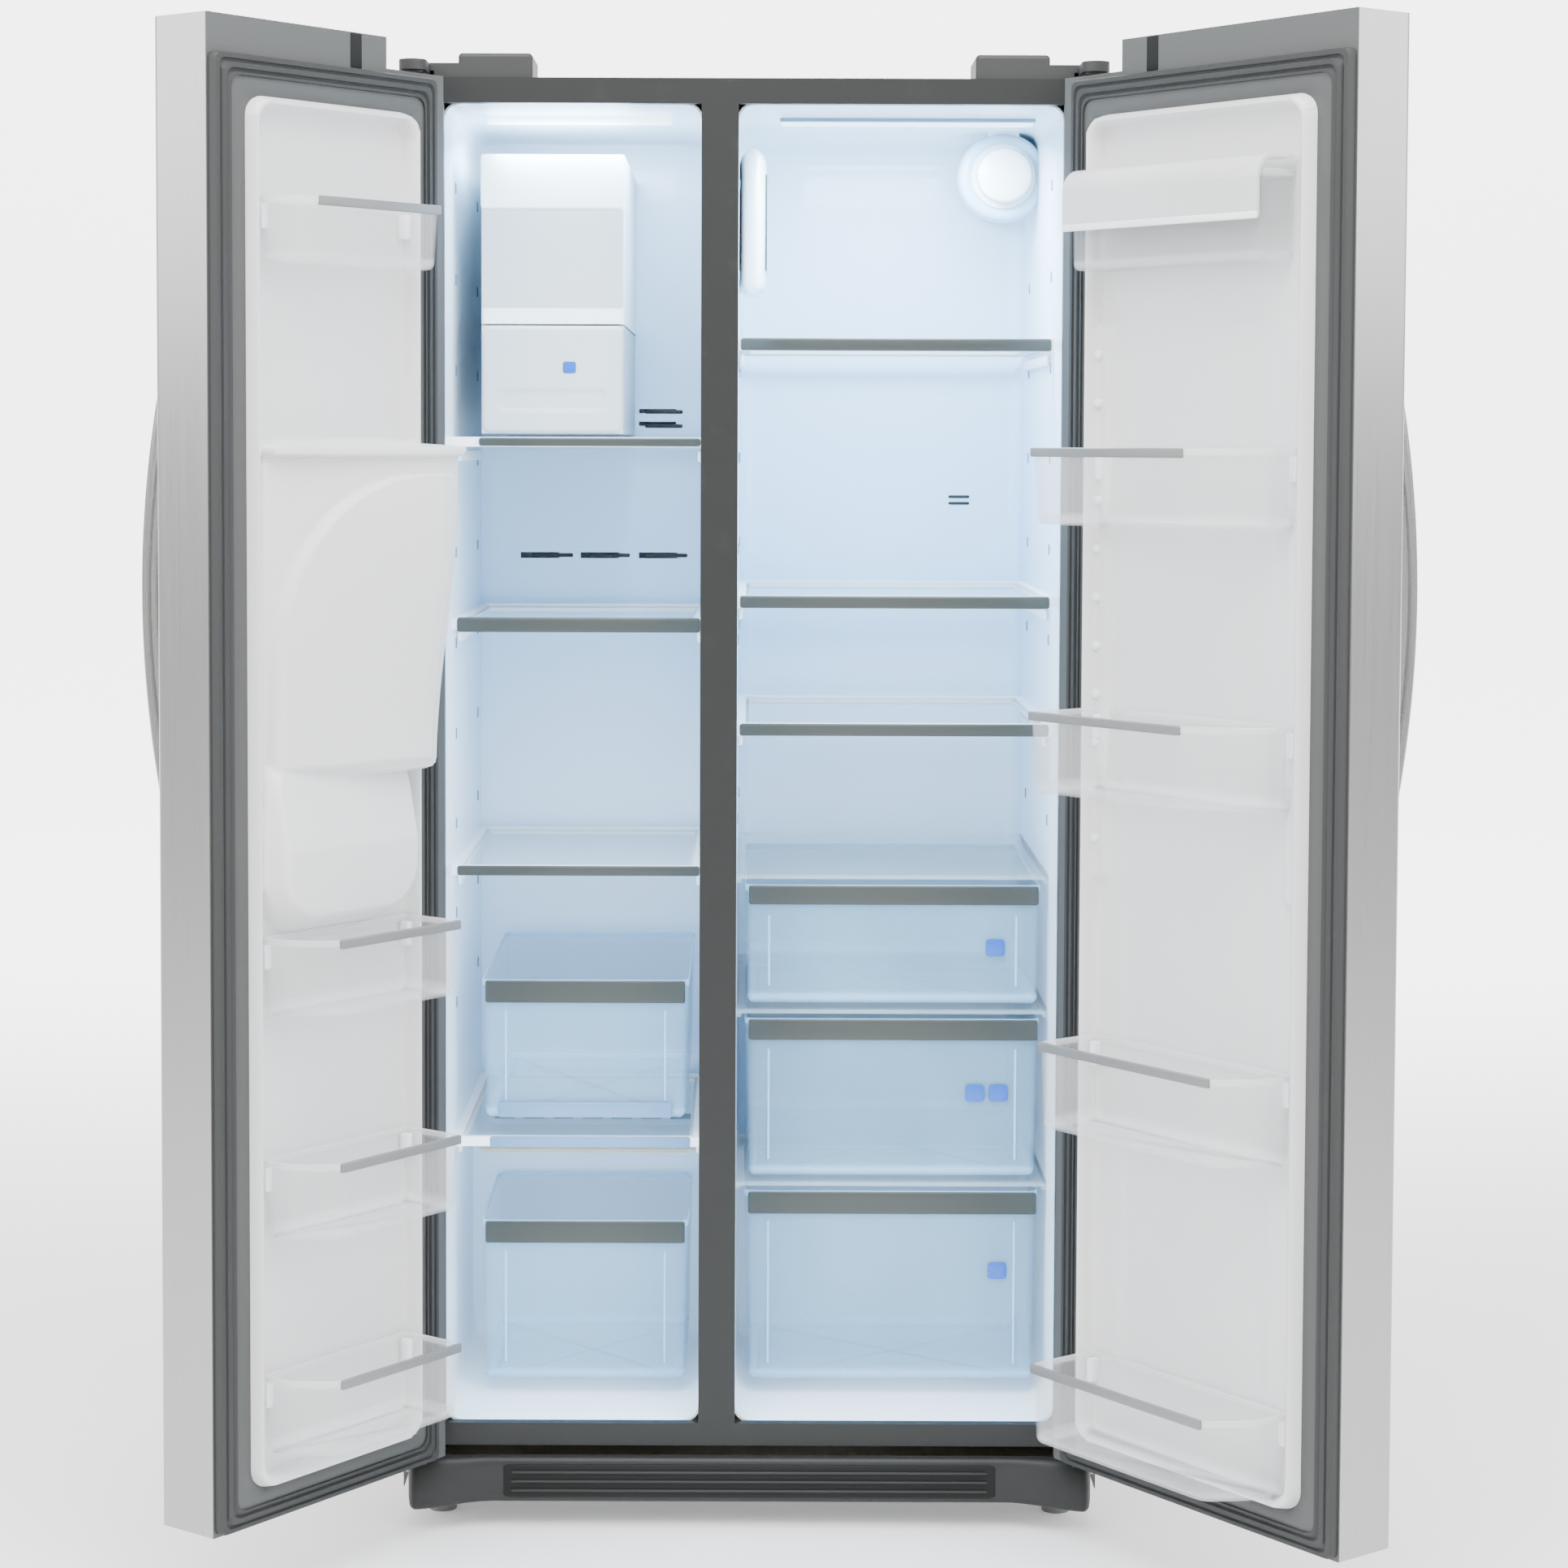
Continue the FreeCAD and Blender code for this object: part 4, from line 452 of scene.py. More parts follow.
def compartment(name, colour, tint, low, high):
    """Liner white with painted blue shade that stands in for the light inside the compartments: it
    turns bluer with depth and in height bands. The painted shade follows the distance to the back
    and a slow change in height."""
    shade = Shade(name, Roughness=0.3, Coat_Weight=0.15)
    # painted shade: the liner is painted bluer towards the back of the compartment
    deep = shade.step(shade.along((0, 1, 0)), 0.05, 0.62)
    tall = shade.node("ShaderNodeMapRange", {}, {"Value": shade.along((0, 0, 1)), "From Min": low,
                                                 "From Max": high})
    # painted shade in height bands: how much of the blue painted shade shows at each height
    band = shade.ramp(tall, [(0.0, (0.25, 0.25, 0.25)), (0.2, (0.75, 0.75, 0.75)),
                             (0.45, (0.35, 0.35, 0.35)), (0.62, (0.85, 0.85, 0.85)),
                             (1.0, (0.15, 0.15, 0.15))])
    painted_blue_shade = shade.node("ShaderNodeMath", {"operation": "MULTIPLY"}, {0: deep, 1: band})
    slow = shade.noise((3, 3, 3), 2)
    shade.set("Base Color", shade.mix(painted_blue_shade * (slow * 0.5 + 0.6), colour, tint))
    fine = shade.noise((700, 700, 700), 2)
    shade.set("Roughness", fine * 0.1 + 0.26)
    shade.bump(fine, 0.03 * MM)
    FINISH[name] = shade.material
    return shade


# ------------------------------------------------------------------ sizes and colours

def length(name, text, value):
    return FloatProperty(name=name, description=text, default=value, unit="LENGTH",
                         subtype="DISTANCE")


def colour(name, text, value):
    return FloatVectorProperty(name=name, description=text, default=value, size=3, min=0, max=1,
                               subtype="COLOR")


class DoorSizes(PropertyGroup):
    lug_radius: length("Lug radius", "Size of the bin lugs on the fridge door", 5 * MM)
    lug_step: length("Lug step", "Height between two bin lugs", 56 * MM)
    rail_height: length("Rail height", "Height of the metal rail along a door bin", 10 * MM)
    handle_foot: length("Handle foot", "Length of a handle's foot at each end", 62 * MM)
    handle_thick: length("Handle thickness", "Thickness of a handle's middle", 14 * MM)
    facet_drop: length("Facet drop", "How far the ice chute's facet stands out", 17 * MM)


class InsideSizes(PropertyGroup):
    liner_radius: length("Liner radius", "Radius of the compartments' corners", 22 * MM)
    trim_depth: length("Trim depth", "How far the steel trims stand out", 5 * MM)
    badge_side: length("Badge side", "Side of the plain blue badges", 13 * MM)
    grille_fins: IntProperty(name="Grille fins", description="Louvres in the toe grille", default=3)


class Colours(PropertyGroup):
    steel: colour("Steel", "Door skins and handles", (0.36, 0.36, 0.357))
    dark: colour("Dark", "Painted edge of the doors and the cabinet frame", (0.020, 0.021, 0.021))
    liner: colour("Liner", "Compartment liners", (0.80, 0.91, 1.0))
    # Tint: the colour of the painted blue shade in the deep parts of the compartments
    tint: colour("Tint", "Deep parts of the compartments", (0.36, 0.62, 0.90))
    door_liner: colour("Door liner", "Inner doors", (0.70, 0.70, 0.70))
    trim: colour("Trim", "Steel trims of shelves and drawers", (0.055, 0.060, 0.056))
    blue: colour("Blue", "Badges", (0.004, 0.07, 0.34))


class StageSizes(PropertyGroup):
    eye_distance: length("Eye distance", "Camera's distance from the cabinet front", 3.9129)
    eye_height: length("Eye height", "Camera's height above the floor", 1.3039)
    lens: FloatProperty(name="Lens", description="Focal length in millimetres", default=75.534)
    shift_x: FloatProperty(name="Shift across", description="Lens shift across the frame",
                           default=39 / 1932)
    shift_y: FloatProperty(name="Shift up", description="Lens shift up the frame", default=-0.1077)
    pitch: FloatProperty(name="Pitch", description="Camera's downward tilt",
                         default=math.radians(3.0),
                         subtype="ANGLE", unit="ROTATION")
    roll: FloatProperty(name="Roll", description="Camera's turn about its own line of sight",
                        default=math.radians(0.2), subtype="ANGLE", unit="ROTATION")


# ------------------------------------------------------------------ finishes

def inner_face(door):
    """A mask for a door's skin: 1 on its painted inner side, behind the outer steel."""
    c, s = math.cos(-door.turn), math.sin(-door.turn)
    back = float(-door.pin @ (s, c) + door.pin[1])
    _, high = door.box(door.body + "_skin")

    def mask(shade):
        depth = shade.along((s, c, 0), back)
        return shade.step(depth, high[1] - 1.4 * MM, high[1] - 0.9 * MM)
    return mask


def make_finishes(colours):
    steel, dark = tuple(colours.steel), tuple(colours.dark)
    liner, tint = tuple(colours.liner), tuple(colours.tint)
    inner, trim = tuple(colours.door_liner), tuple(colours.trim)
    brushed("freezer_skin", steel, (420, 420, 5), 0.3, 0.8, inner_face(FREEZER), tone(dark, 3.2))
    brushed("fridge_skin", steel, (420, 420, 5), 0.3, 0.8, inner_face(FRIDGE), tone(dark, 3.2))
    brushed("handle_steel", tone(steel, 1.05), (500, 500, 6), 0.26)
    brushed("trim_steel", trim, (6, 600, 600), 0.48, 0.6)
    brushed("rail_steel", (0.20, 0.20, 0.20), (300, 300, 500), 0.42, 0.3)
    brushed("zinc", (0.55, 0.56, 0.56), (40, 40, 40), 0.38, 0.7)
    brushed("coil_metal", (0.62, 0.63, 0.64), (200, 30, 200), 0.35, 0.9)
    brushed("auger_metal", (0.62, 0.63, 0.64), (60, 60, 60), 0.3, 0.9)
    paint("cabinet_grey", (0.12, 0.125, 0.125), 0.45)
    paint("frame_dark", dark, 0.4)
    paint("hinge_grey", (0.035, 0.036, 0.036), 0.42, 0.2)
    paint("compressor_black", (0.02, 0.02, 0.02), 0.3)
    paint("condenser_black", (0.03, 0.03, 0.03), 0.4)
    paint("motor_grey", (0.25, 0.25, 0.26), 0.35, 0.5)
    paint("leg_steel", (0.2, 0.2, 0.21), 0.35, 0.6)
    plastic("gasket", (0.022, 0.023, 0.023), 0.62, 500, 0.05 * MM)
    plastic("band_grey", (0.060, 0.062, 0.062), 0.5, 500, 0.03 * MM)
    plastic("filter_ring", (0.42, 0.62, 0.78), 0.3, 700, 0.02 * MM, 0.02)
    plastic("grille_dark", (0.006, 0.0065, 0.0065), 0.6, Specular=0.25)
    plastic("grille_grey", (0.016, 0.0165, 0.0165), 0.5, Specular=0.35)
    plastic("cover_dark", (0.030, 0.031, 0.031), 0.5, Specular=0.35)
    plastic("roller_black", (0.03, 0.03, 0.03), 0.5)
    plastic("door_liner", inner, 0.3, 600, 0.03 * MM, 0.02)
    plastic("white", (0.82, 0.85, 0.88), 0.3, 700, 0.02 * MM, 0.02)
    plastic("bright_white", (0.9, 0.92, 0.94), 0.18, 700, 0.01 * MM, 0.01, Coat_Weight=0.4)
    plastic("ice_grey", (0.42, 0.45, 0.48), 0.35, 700, 0.02 * MM, 0.02)
    plastic("blue", tuple(colours.blue), 0.25, 500, 0.01 * MM, 0.05)
    plastic("pocket_blue", (0.10, 0.20, 0.32), 0.5)
    plastic("dispenser_dark", (0.07, 0.07, 0.075), 0.3)
    plastic("panel_black", (0.01, 0.01, 0.012), 0.12, 500, 0.005 * MM, 0.1, Coat_Weight=0.6)
    plastic("paddle_grey", (0.17, 0.17, 0.175), 0.42)
    plastic("fan_black", (0.08, 0.08, 0.085), 0.45)
    plastic("pan_grey", (0.14, 0.14, 0.14), 0.5)
    plastic("valve_white", (0.72, 0.72, 0.70), 0.45)
    plastic("foam", (0.80, 0.70, 0.48), 0.85, 260, 0.4 * MM, 0.12)
    # compartment liners: liner white with painted blue shade by depth and height
    compartment("cold_liner", liner, tint, 0.12, 1.70)
    compartment("cool_liner", liner, tint, 0.12, 1.70)
    clear("bin_clear", (0.80, 0.81, 0.82), 0.13, 0.42)
    clear("drawer_clear", (0.36, 0.62, 0.86), 0.17, 0.62)
    clear("blue_band", (0.13, 0.25, 0.42), 0.72, 0.9, 0.12, False)
    clear("dairy_white", (0.78, 0.79, 0.80), 0.72, 0.9, 0.1, False)
    clear("glass", (0.70, 0.88, 0.95), 0.16, 0.5, 0.03, False)
    clear("cover_clear", (0.66, 0.82, 0.92), 0.22, 0.5, 0.06, False)
    lens = Shade("lens", Roughness=0.4)
    frost = lens.noise((180, 180, 180), 2)
    lens.set("Base Color", lens.mix(frost, (0.86, 0.9, 0.95), (0.95, 0.98, 1.0)))
    lens.set("Emission Color", (0.85, 0.93, 1.0))
    lens.set("Emission Strength", 1.2)
    lens.bump(frost, 0.05 * MM)
    FINISH["lens"] = lens.material


NODE_FINISH = {
    "cabinet_shell": "cabinet_grey", "back_panel": "zinc", "front_frame": "frame_dark",
    "freezer_liner": "cold_liner", "fridge_liner": "cool_liner", "foam_insulation": "foam",
    "base_pan": "zinc", "front_rollers": "roller_black", "rear_rollers": "roller_black",
    "levelling_legs": "leg_steel", "toe_grille": "grille_grey", "top_hinges": "hinge_grey",
    "bottom_hinges": "hinge_grey", "hinge_covers": "cover_dark",
    "freezer_door_skin": "freezer_skin", "freezer_door_foam": "foam",
    "freezer_door_liner": "door_liner", "freezer_door_gasket": "gasket",
    "freezer_door_handle": "handle_steel", "freezer_door_bins": "bin_clear",
    "dispenser_housing": "dispenser_dark", "control_panel": "panel_black",
    "dispenser_paddle": "paddle_grey", "ice_flap": "paddle_grey", "drip_tray": "paddle_grey",
    "fridge_door_skin": "fridge_skin", "fridge_door_foam": "foam",
    "fridge_door_liner": "door_liner",
    "fridge_door_gasket": "gasket", "fridge_door_handle": "handle_steel",
    "fridge_door_bins": "bin_clear", "dairy_lid": "bin_clear",
    "fridge_shelf_glass": "glass", "fridge_shelf_frames": "white", "crisper_covers": "cover_clear",
    "deli_drawer": "drawer_clear", "upper_crisper": "drawer_clear", "lower_crisper": "drawer_clear",
    "freezer_shelf_glass": "glass", "freezer_shelf_frames": "white",
    "freezer_basket": "drawer_clear", "freezer_drawer": "drawer_clear",
    "evaporator_cover": "cold_liner", "evaporator_coil": "coil_metal",
    "evaporator_fan": "fan_black",
    "fan_motors": "motor_grey", "condenser_fan": "fan_black", "compressor": "compressor_black",
    "condenser_coil": "condenser_black", "drain_pan": "pan_grey", "machine_cover": "zinc",
    "water_valve": "valve_white", "power_inlet": "roller_black", "ice_maker": "white",
    "ice_bin": "ice_grey", "ice_auger": "auger_metal", "air_duct_tower": "bright_white",
    "light_bar": "lens", "filter_housing": "white", "filter_cartridge": "bright_white",
}


class BuildStep(Operator):
    """One step of building the refrigerator; the others are made from it."""
    bl_options = {"REGISTER", "UNDO"}

    def execute(self, context):
        self.build(context.scene)
        return {"FINISHED"}


class OBJECT_OT_fridge_finishes(BuildStep):
    """Give every CAD part its finish"""
    bl_idname = "object.fridge_finishes"
    bl_label = "Finishes"

    def build(self, scene):
        make_finishes(scene.fridge_colours)
        if set(NODE_FINISH) != set(NODES):
            raise RuntimeError("a CAD part has no finish, or a finish has no part")
        for name, finish in NODE_FINISH.items():
            slots = NODES[name].data.materials
            slots.clear()
            slots.append(FINISH[finish])


class OBJECT_OT_fridge_handles(BuildStep):
    """Add the bowed door handles"""
    bl_idname = "object.fridge_handles"
    bl_label = "Handles"

    def build(self, scene):
        for door in (FREEZER, FRIDGE):
            piece(door.body + "_grip", [bow(door, scene.fridge_doors)], door.body,
                  FINISH["handle_steel"], [door.body + "_handle"], 50)


def bow(door, sizes):
    """A handle between two arcs: the front arc has the full rise and the back arc starts at the
    door's face further in; each section is a superellipse between them, thin at both ends."""
    low, high = door.box(door.body + "_handle")
    skin_low, _ = door.box(door.body + "_skin")
    face = skin_low[1]
    middle, half = (low[2] + high[2]) / 2, (high[2] - low[2]) / 2 - 1 * MM
    rise = face - low[1]
    z = np.linspace(-half, half, 90)
    front = face - rise * (1 - (z / half) ** 2) - 0.4 * MM
    inner = half - sizes.handle_foot
    back = face - (rise - sizes.handle_thick) * np.clip(1 - (z / inner) ** 2, 0, 1)
    turn = np.linspace(0, 2 * np.pi, 32, endpoint=False)
    across = np.sign(np.cos(turn)) * np.abs(np.cos(turn)) ** 0.6
    deep = np.sign(np.sin(turn)) * np.abs(np.sin(turn)) ** 0.7
    thick = np.maximum(back - front, 0.5 * MM) / 2
    width = (high[0] - low[0]) / 2
    out = np.empty((len(z), len(turn), 3))
    out[..., 0] = (low[0] + high[0]) / 2 + width * across
    out[..., 1] = (front + thick)[:, None] + thick[:, None] * deep
    out[..., 2] = (middle + z)[:, None]
    return door.rest(out)


# ------------------------------------------------------------------ inner doors

def rim_limits(low, high):
    """Where a moulding's rim stands: hinge side, free side, bottom and top."""
    return low[0] + 24 * MM, high[0] - 40 * MM, low[2] + 28 * MM, high[2] - 33 * MM


def rim(d, z, low, high):
    """The rim round a moulding: the difference of two round-cornered patches, 11 mm apart."""
    d0, d1, z0, z1 = rim_limits(low, high)
    wide, tall = 11 * MM, 20 * MM
    outer = patch(d, z, (d0, z0), (d1, z1), 26 * MM, 7 * MM)
    inner = patch(d, z, (d0 + wide, z0 + wide), (d1 - wide, z1 - wide), 20 * MM, 9 * MM)
    return tall * (outer - inner)


def freezer_height(base, low, high, drop):
    """Height of the freezer door's moulding, its rim included. The chute is a wedge that falls from the hinge side to the free side; its facet is
    the wedge's part inside a large arc, and its bowl is a rounded patch below."""
    def height(d, z):
        d0, d1, z0, z1 = rim_limits(low, high)
        total = rim(d, z, low, high)
        fall = np.clip((d - 0.10) / (d1 - 0.10), 0, 1)
        taper = np.clip((z - 0.93) / 0.32, 0, 1)
        reach = (58 + 34 * taper * taper * (3 - 2 * taper)) * MM
        wedge = reach * (1 - 0.62 * fall)
        body = patch(d, z, (d0 + 7 * MM, 0.925), (d1 - 7 * MM, 1.300), 16 * MM, 12 * MM)
        total = np.maximum(total, body * (wedge - drop * (0.35 + 0.65 * fall)))
        arc, arc_tall, centre = 0.18, 0.19, (0.123, 1.085)
        a = np.clip(d - centre[0], 0, None)
        b = np.clip(z - centre[1], 0, None) * arc / arc_tall
        facet = np.clip((arc - np.hypot(a, b)) / (9 * MM), 0, 1)
        facet = facet * facet * (3 - 2 * facet) * patch(d, z, (d0 + 14 * MM, 0.93),
                                                        (d1 + 0.2, 1.285), 10 * MM, 26 * MM)
        total = np.maximum(total, facet * wedge)
        lip = patch(d, z, (d0 + 4 * MM, 1.287), (d1 - 7 * MM, 1.301), 5 * MM, 5 * MM)
        total = np.maximum(total, lip * (wedge + 1.5 * MM))
        bowl = patch(d, z, (d0 + 26 * MM, 0.764), (d1 - 12 * MM, 0.97), 62 * MM, 26 * MM)
        total = np.maximum(total, bowl * (24 + 22 * np.clip((0.95 - z) / 0.1, 0, 1)) * MM)
        return base + total
    return height


def fridge_height(base, low, high):
    """Height of the fridge door's moulding: a rim as above, two raised side columns that the
    bins hang on, and a shallow panel between them."""
    def height(d, z):
        d0, d1, z0, z1 = rim_limits(low, high)
        total = rim(d, z, low, high)
        for near, far in ((d0 + 4 * MM, d0 + 34 * MM), (d1 - 34 * MM, d1 - 4 * MM)):
            total = np.maximum(total, 7 * MM * patch(d, z, (near, 0.80), (far, 1.44), 9 * MM,
                                                     8 * MM))
        panel = patch(d, z, (d0 + 60 * MM, z0 + 60 * MM), (d1 - 60 * MM, 1.44), 30 * MM, 14 * MM)
        return base + total + 2.5 * MM * (1 - panel) * patch(d, z, (d0, z0), (d1, z1), 26 * MM,
                                                             7 * MM)
    return height


class OBJECT_OT_fridge_door_liners(BuildStep):
    """Add the moulded inner doors"""
    bl_idname = "object.fridge_door_liners"
    bl_label = "Inner doors"

    def build(self, scene):
        sizes = scene.fridge_doors
        for door, cols in ((FREEZER, 130), (FRIDGE, 130)):
            node = door.body + "_liner"
            low, high = door.box(node)
            base = door.box(door.body + "_skin")[1][1]
            d = np.linspace(low[0], high[0], cols)
            z = np.linspace(low[2], high[2], 520)
            if door is FREEZER:
                shape = freezer_height(base, low, high, sizes.facet_drop)
            else:
                shape = fridge_height(base, low, high)
            piece(door.body + "_moulding", [relief(door, d, z, shape, base - 2.4 * MM)], door.body,
                  FINISH["door_liner"], [node], 60)
            self.seal(door)
        low, high = FRIDGE.box("fridge_door_liner")
        base = FRIDGE.box("fridge_door_skin")[1][1]
        radius = sizes.lug_radius
        lugs = [FRIDGE.rest(bar((low[0] + 36 * MM, base + 5 * MM, z - radius),
                                (low[0] + 36 * MM + 2 * radius, base + 15 * MM, z + radius),
                                1, 2.2, 2 * MM, 20))
                for z in np.arange(1.407, 0.84, -sizes.lug_step)]
        piece("fridge_door_lugs", lugs, "fridge_door", FINISH["white"])

    def seal(self, door):
        """A ribbed bellows lip, and the flat band between it and the moulding."""
        low, high = door.box(door.body + "_gasket")
        base, top = low[1], high[1] - 0.3 * MM
        lip = [(0.0, base), (0.0, top - 3 * MM), (0.03, top), (0.13, top), (0.16, top - 3 * MM),
               (0.19, top - 3 * MM), (0.22, top - 0.6 * MM), (0.34, top - 0.6 * MM),
               (0.37, top - 4 * MM), (0.40, top - 4 * MM), (0.43, top - 2 * MM),
               (0.50, top - 2 * MM), (0.52, base)]
        piece(door.body + "_seal", [border(door, lip)], door.body,
              FINISH["gasket"], [door.body + "_gasket"], 50)
        band = [(0.50, base), (0.50, base + 6.5 * MM), (0.60, base + 7 * MM),
                (0.92, base + 6.2 * MM), (1.0, base + 3 * MM), (1.0, base)]
        piece(door.body + "_seal_band", [border(door, band)], door.body,
              FINISH["band_grey"], (), 50)



def border(door, profile):
    """A closed frame round the inner door. Each profile row (t, y) is the outer outline times
    1 - t plus the moulding's outline times t, at depth y."""
    low, high = door.box(door.body + "_gasket")
    white_low, white_high = door.box(door.body + "_liner")
    outer = soft_corners([(low[0], low[2]), (high[0], low[2]), (high[0], high[2]),
                          (low[0], high[2])], 9 * MM, 8)
    d0, d1, z0, z1 = rim_limits(white_low, white_high)
    lap = 2 * MM
    inner = soft_corners([(d0 + lap, z0 + lap), (d1 - lap, z0 + lap), (d1 - lap, z1 - lap),
                          (d0 + lap, z1 - lap)], 24 * MM, 8)
    t, y = (np.array(column)[:, None] for column in zip(*profile))
    flat = outer[None] * (1 - t[..., None]) + inner[None] * t[..., None]
    tall = np.broadcast_to(y[..., None], flat.shape[:2] + (1,))
    return torus(door.rest(np.concatenate([flat[..., :1], tall, flat[..., 1:]], 2)))


# ------------------------------------------------------------------ door bins

CORNER_PAST, RAIL_PAST = 14 * MM, 12 * MM     # how far a bin's corner and rail pass its named end
BINS = [
    # door, name, rail end d, top z, height, reach, waist share
    (FREEZER, "freezer_bin_top", 0.258, 1.572, 0.073, 0.066, 0.5),
    (FREEZER, "freezer_bin_one", 0.258, 0.755, 0.087, 0.095, 0.42),
    (FREEZER, "freezer_bin_two", 0.258, 0.506, 0.087, 0.095, 0.42),
    (FREEZER, "freezer_bin_three", 0.258, 0.263, 0.087, 0.095, 0.42),
    (FRIDGE, "fridge_bin_one", 0.306, 1.299, 0.087, 0.118, 0.42),
    (FRIDGE, "fridge_bin_two", 0.306, 0.999, 0.093, 0.118, 0.42),
    (FRIDGE, "fridge_bin_three", 0.338, 0.617, 0.100, 0.100, 0.42),
    (FRIDGE, "fridge_bin_four", 0.338, 0.243, 0.092, 0.107, 0.42),
]


class OBJECT_OT_fridge_door_bins(BuildStep):
    """Add the clear door bins, their rails and the dairy box"""
    bl_idname = "object.fridge_door_bins"
    bl_label = "Door bins"

    def build(self, scene):
        sizes = scene.fridge_doors
        for door in (FREEZER, FRIDGE):
            node = door.body + "_bins"
            low, high = door.box(node)
            base = door.box(door.body + "_skin")[1][1] + 4 * MM
            boxes, near, rails, hooks = [], [], [], []
            for owner, _, end, top, tall, reach, waist in BINS:
                if owner is not door:
                    continue
                front = base - 4 * MM + reach - 1 * MM
                d0, d1 = low[0] + 1.5 * MM, high[0] - 1.5 * MM
                side = base + reach * waist
                plan = soft_corners([(d0, base), (d1, base), (d1, side), (end + CORNER_PAST, front),
                                     (d0, front)], [6 * MM, 6 * MM, 16 * MM, 16 * MM, 18 * MM], 7)
                walls, edge = tray(plan, top - tall, top, 2.2 * MM, 9 * MM, 4 * MM)
                boxes.append(door.rest(walls))
                near.append(np.repeat(edge, len(plan)))
                rails.append(door.rest(bar((d0 + 3 * MM, front - 5 * MM, top - sizes.rail_height),
                                           (end + RAIL_PAST, front + 0.8 * MM, top + 0.6 * MM), 0,
                                           5.0)))
                for a, b in ((d0 - 1 * MM, d0 + 9 * MM), (d1 - 9 * MM, d1 + 1 * MM)):
                    hooks.append(door.rest(bar((a, base - 3 * MM, top - 36 * MM),
                                               (b, base + 11 * MM, top - 8 * MM), 2, 5.0)))
            if door is FRIDGE:
                dairy, edge = self.dairy(low, base)
                boxes.append(door.rest(dairy))
                near.append(np.repeat(edge, dairy.shape[1]))
            piece(door.body + "_trays", boxes, door.body, FINISH["bin_clear"], [node],
                  45, near)
            piece(door.body + "_rails", rails, door.body, FINISH["rail_steel"])
            piece(door.body + "_hooks", hooks, door.body, FINISH["white"])
        low, high = FRIDGE.box("dairy_lid")
        piece("dairy_cover", [FRIDGE.rest(self.lid(low, high))], "dairy_lid",
              FINISH["dairy_white"], ["dairy_lid"], 50)
        rims = [bar((low[0] + 1 * MM, high[1] - 1.5 * MM, low[2] - 1 * MM),
                    (high[0] - 1 * MM, high[1] + 0.8 * MM, low[2] + 7 * MM), 0, 3, 2 * MM)]
        piece("dairy_cover_rim", [FRIDGE.rest(r) for r in rims], "dairy_lid",
              FINISH["bright_white"])

    def dairy(self, low, base):
        d0, d1 = low[0] + 1 * MM, FRIDGE.box("dairy_lid")[1][0] - 4 * MM
        plan = soft_corners([(d0, base), (d1, base), (d1, base + 0.052), (d0, base + 0.052)],
                            9 * MM)
        return tray(plan, 1.501, 1.600, 2.2 * MM, 8 * MM, 2 * MM)

    def lid(self, low, high):
        """A bent cover: its section follows a quarter circle from the flat top to the front, and
        comes back 3 mm inside it."""
        t = np.linspace(0, np.pi / 2, 12)
        radius = 26 * MM
        centre = np.array([high[1] - radius, high[2] - radius])
        arc = centre + radius * np.stack([np.sin(t), np.cos(t)], 1)
        less = centre + (radius - 4 * MM) * np.stack([np.sin(t[::-1]), np.cos(t[::-1])], 1)
        outer = np.concatenate([[[low[1] + 6 * MM, high[2]]], arc, [[high[1], low[2] + 4 * MM]]])
        inner = np.concatenate([[[high[1] - 4 * MM, low[2] + 1 * MM]], less,
                                [[low[1] + 4 * MM, high[2] - 4 * MM]]])
        return carried(np.concatenate([outer, inner]), np.linspace(low[0] + 1.6 * MM,
                                                                   high[0] - 1.6 * MM, 5), 0)


# ------------------------------------------------------------------ compartments

def cave(node, radius):
    """A compartment's shell. Sections are round-cornered rectangles from the rear of the outside,
    forward to the mouth, and back inside; the floor climbs over the step on two quarter circles,
    and the rear closes on a quarter circle."""
    low, high = box(node)
    wall = 2.5 * MM
    step_y, step_z = 398 * MM, 372 * MM
    inner_low, inner_high = low[[0, 2]] + wall, high[[0, 2]] - wall
    back = high[1] - wall
    t = np.linspace(0, np.pi / 2, 7)

    def half(grow):
        floor = inner_low[1] - grow
        rows = [(low[1], floor, 0), (low[1] + 4 * MM, floor, 0), (step_y - radius - 1 * MM, floor,
                                                                  0)]
        r = radius + grow
        rows += [(step_y - radius + r * math.sin(a), floor + r * (1 - math.cos(a)), 0) for a in t]
        r = 16 * MM - grow
        rows += [(step_y + grow + r * (1 - math.cos(a)), step_z - grow - r + r * math.sin(a), 0)
                 for a in t]
        r = radius + grow
        rows += [(back + grow - r + r * math.sin(a), step_z - grow,
                  r * (1 - math.cos(a))) for a in t]
        rows += [(back + grow, step_z - grow, r + 8 * MM)]
        return [(y, z, inset, grow) for y, z, inset in rows]

    rows = half(wall * 0.92)[::-1] + half(0.0)
    plans = []
    for y, floor, inset, grow in rows:
        x0, x1 = inner_low[0] - grow + inset, inner_high[0] + grow - inset
        z0, z1 = floor + inset, inner_high[1] + grow - inset
        r = max(radius + grow - inset * 0.5, 6 * MM)
        flat = soft_corners([(x0, z0), (x1, z0), (x1, z1), (x0, z1)], r, 7)
        plans.append(np.stack([flat[:, 0], np.full(len(flat), y), flat[:, 1]], 1))
    return np.array(plans)


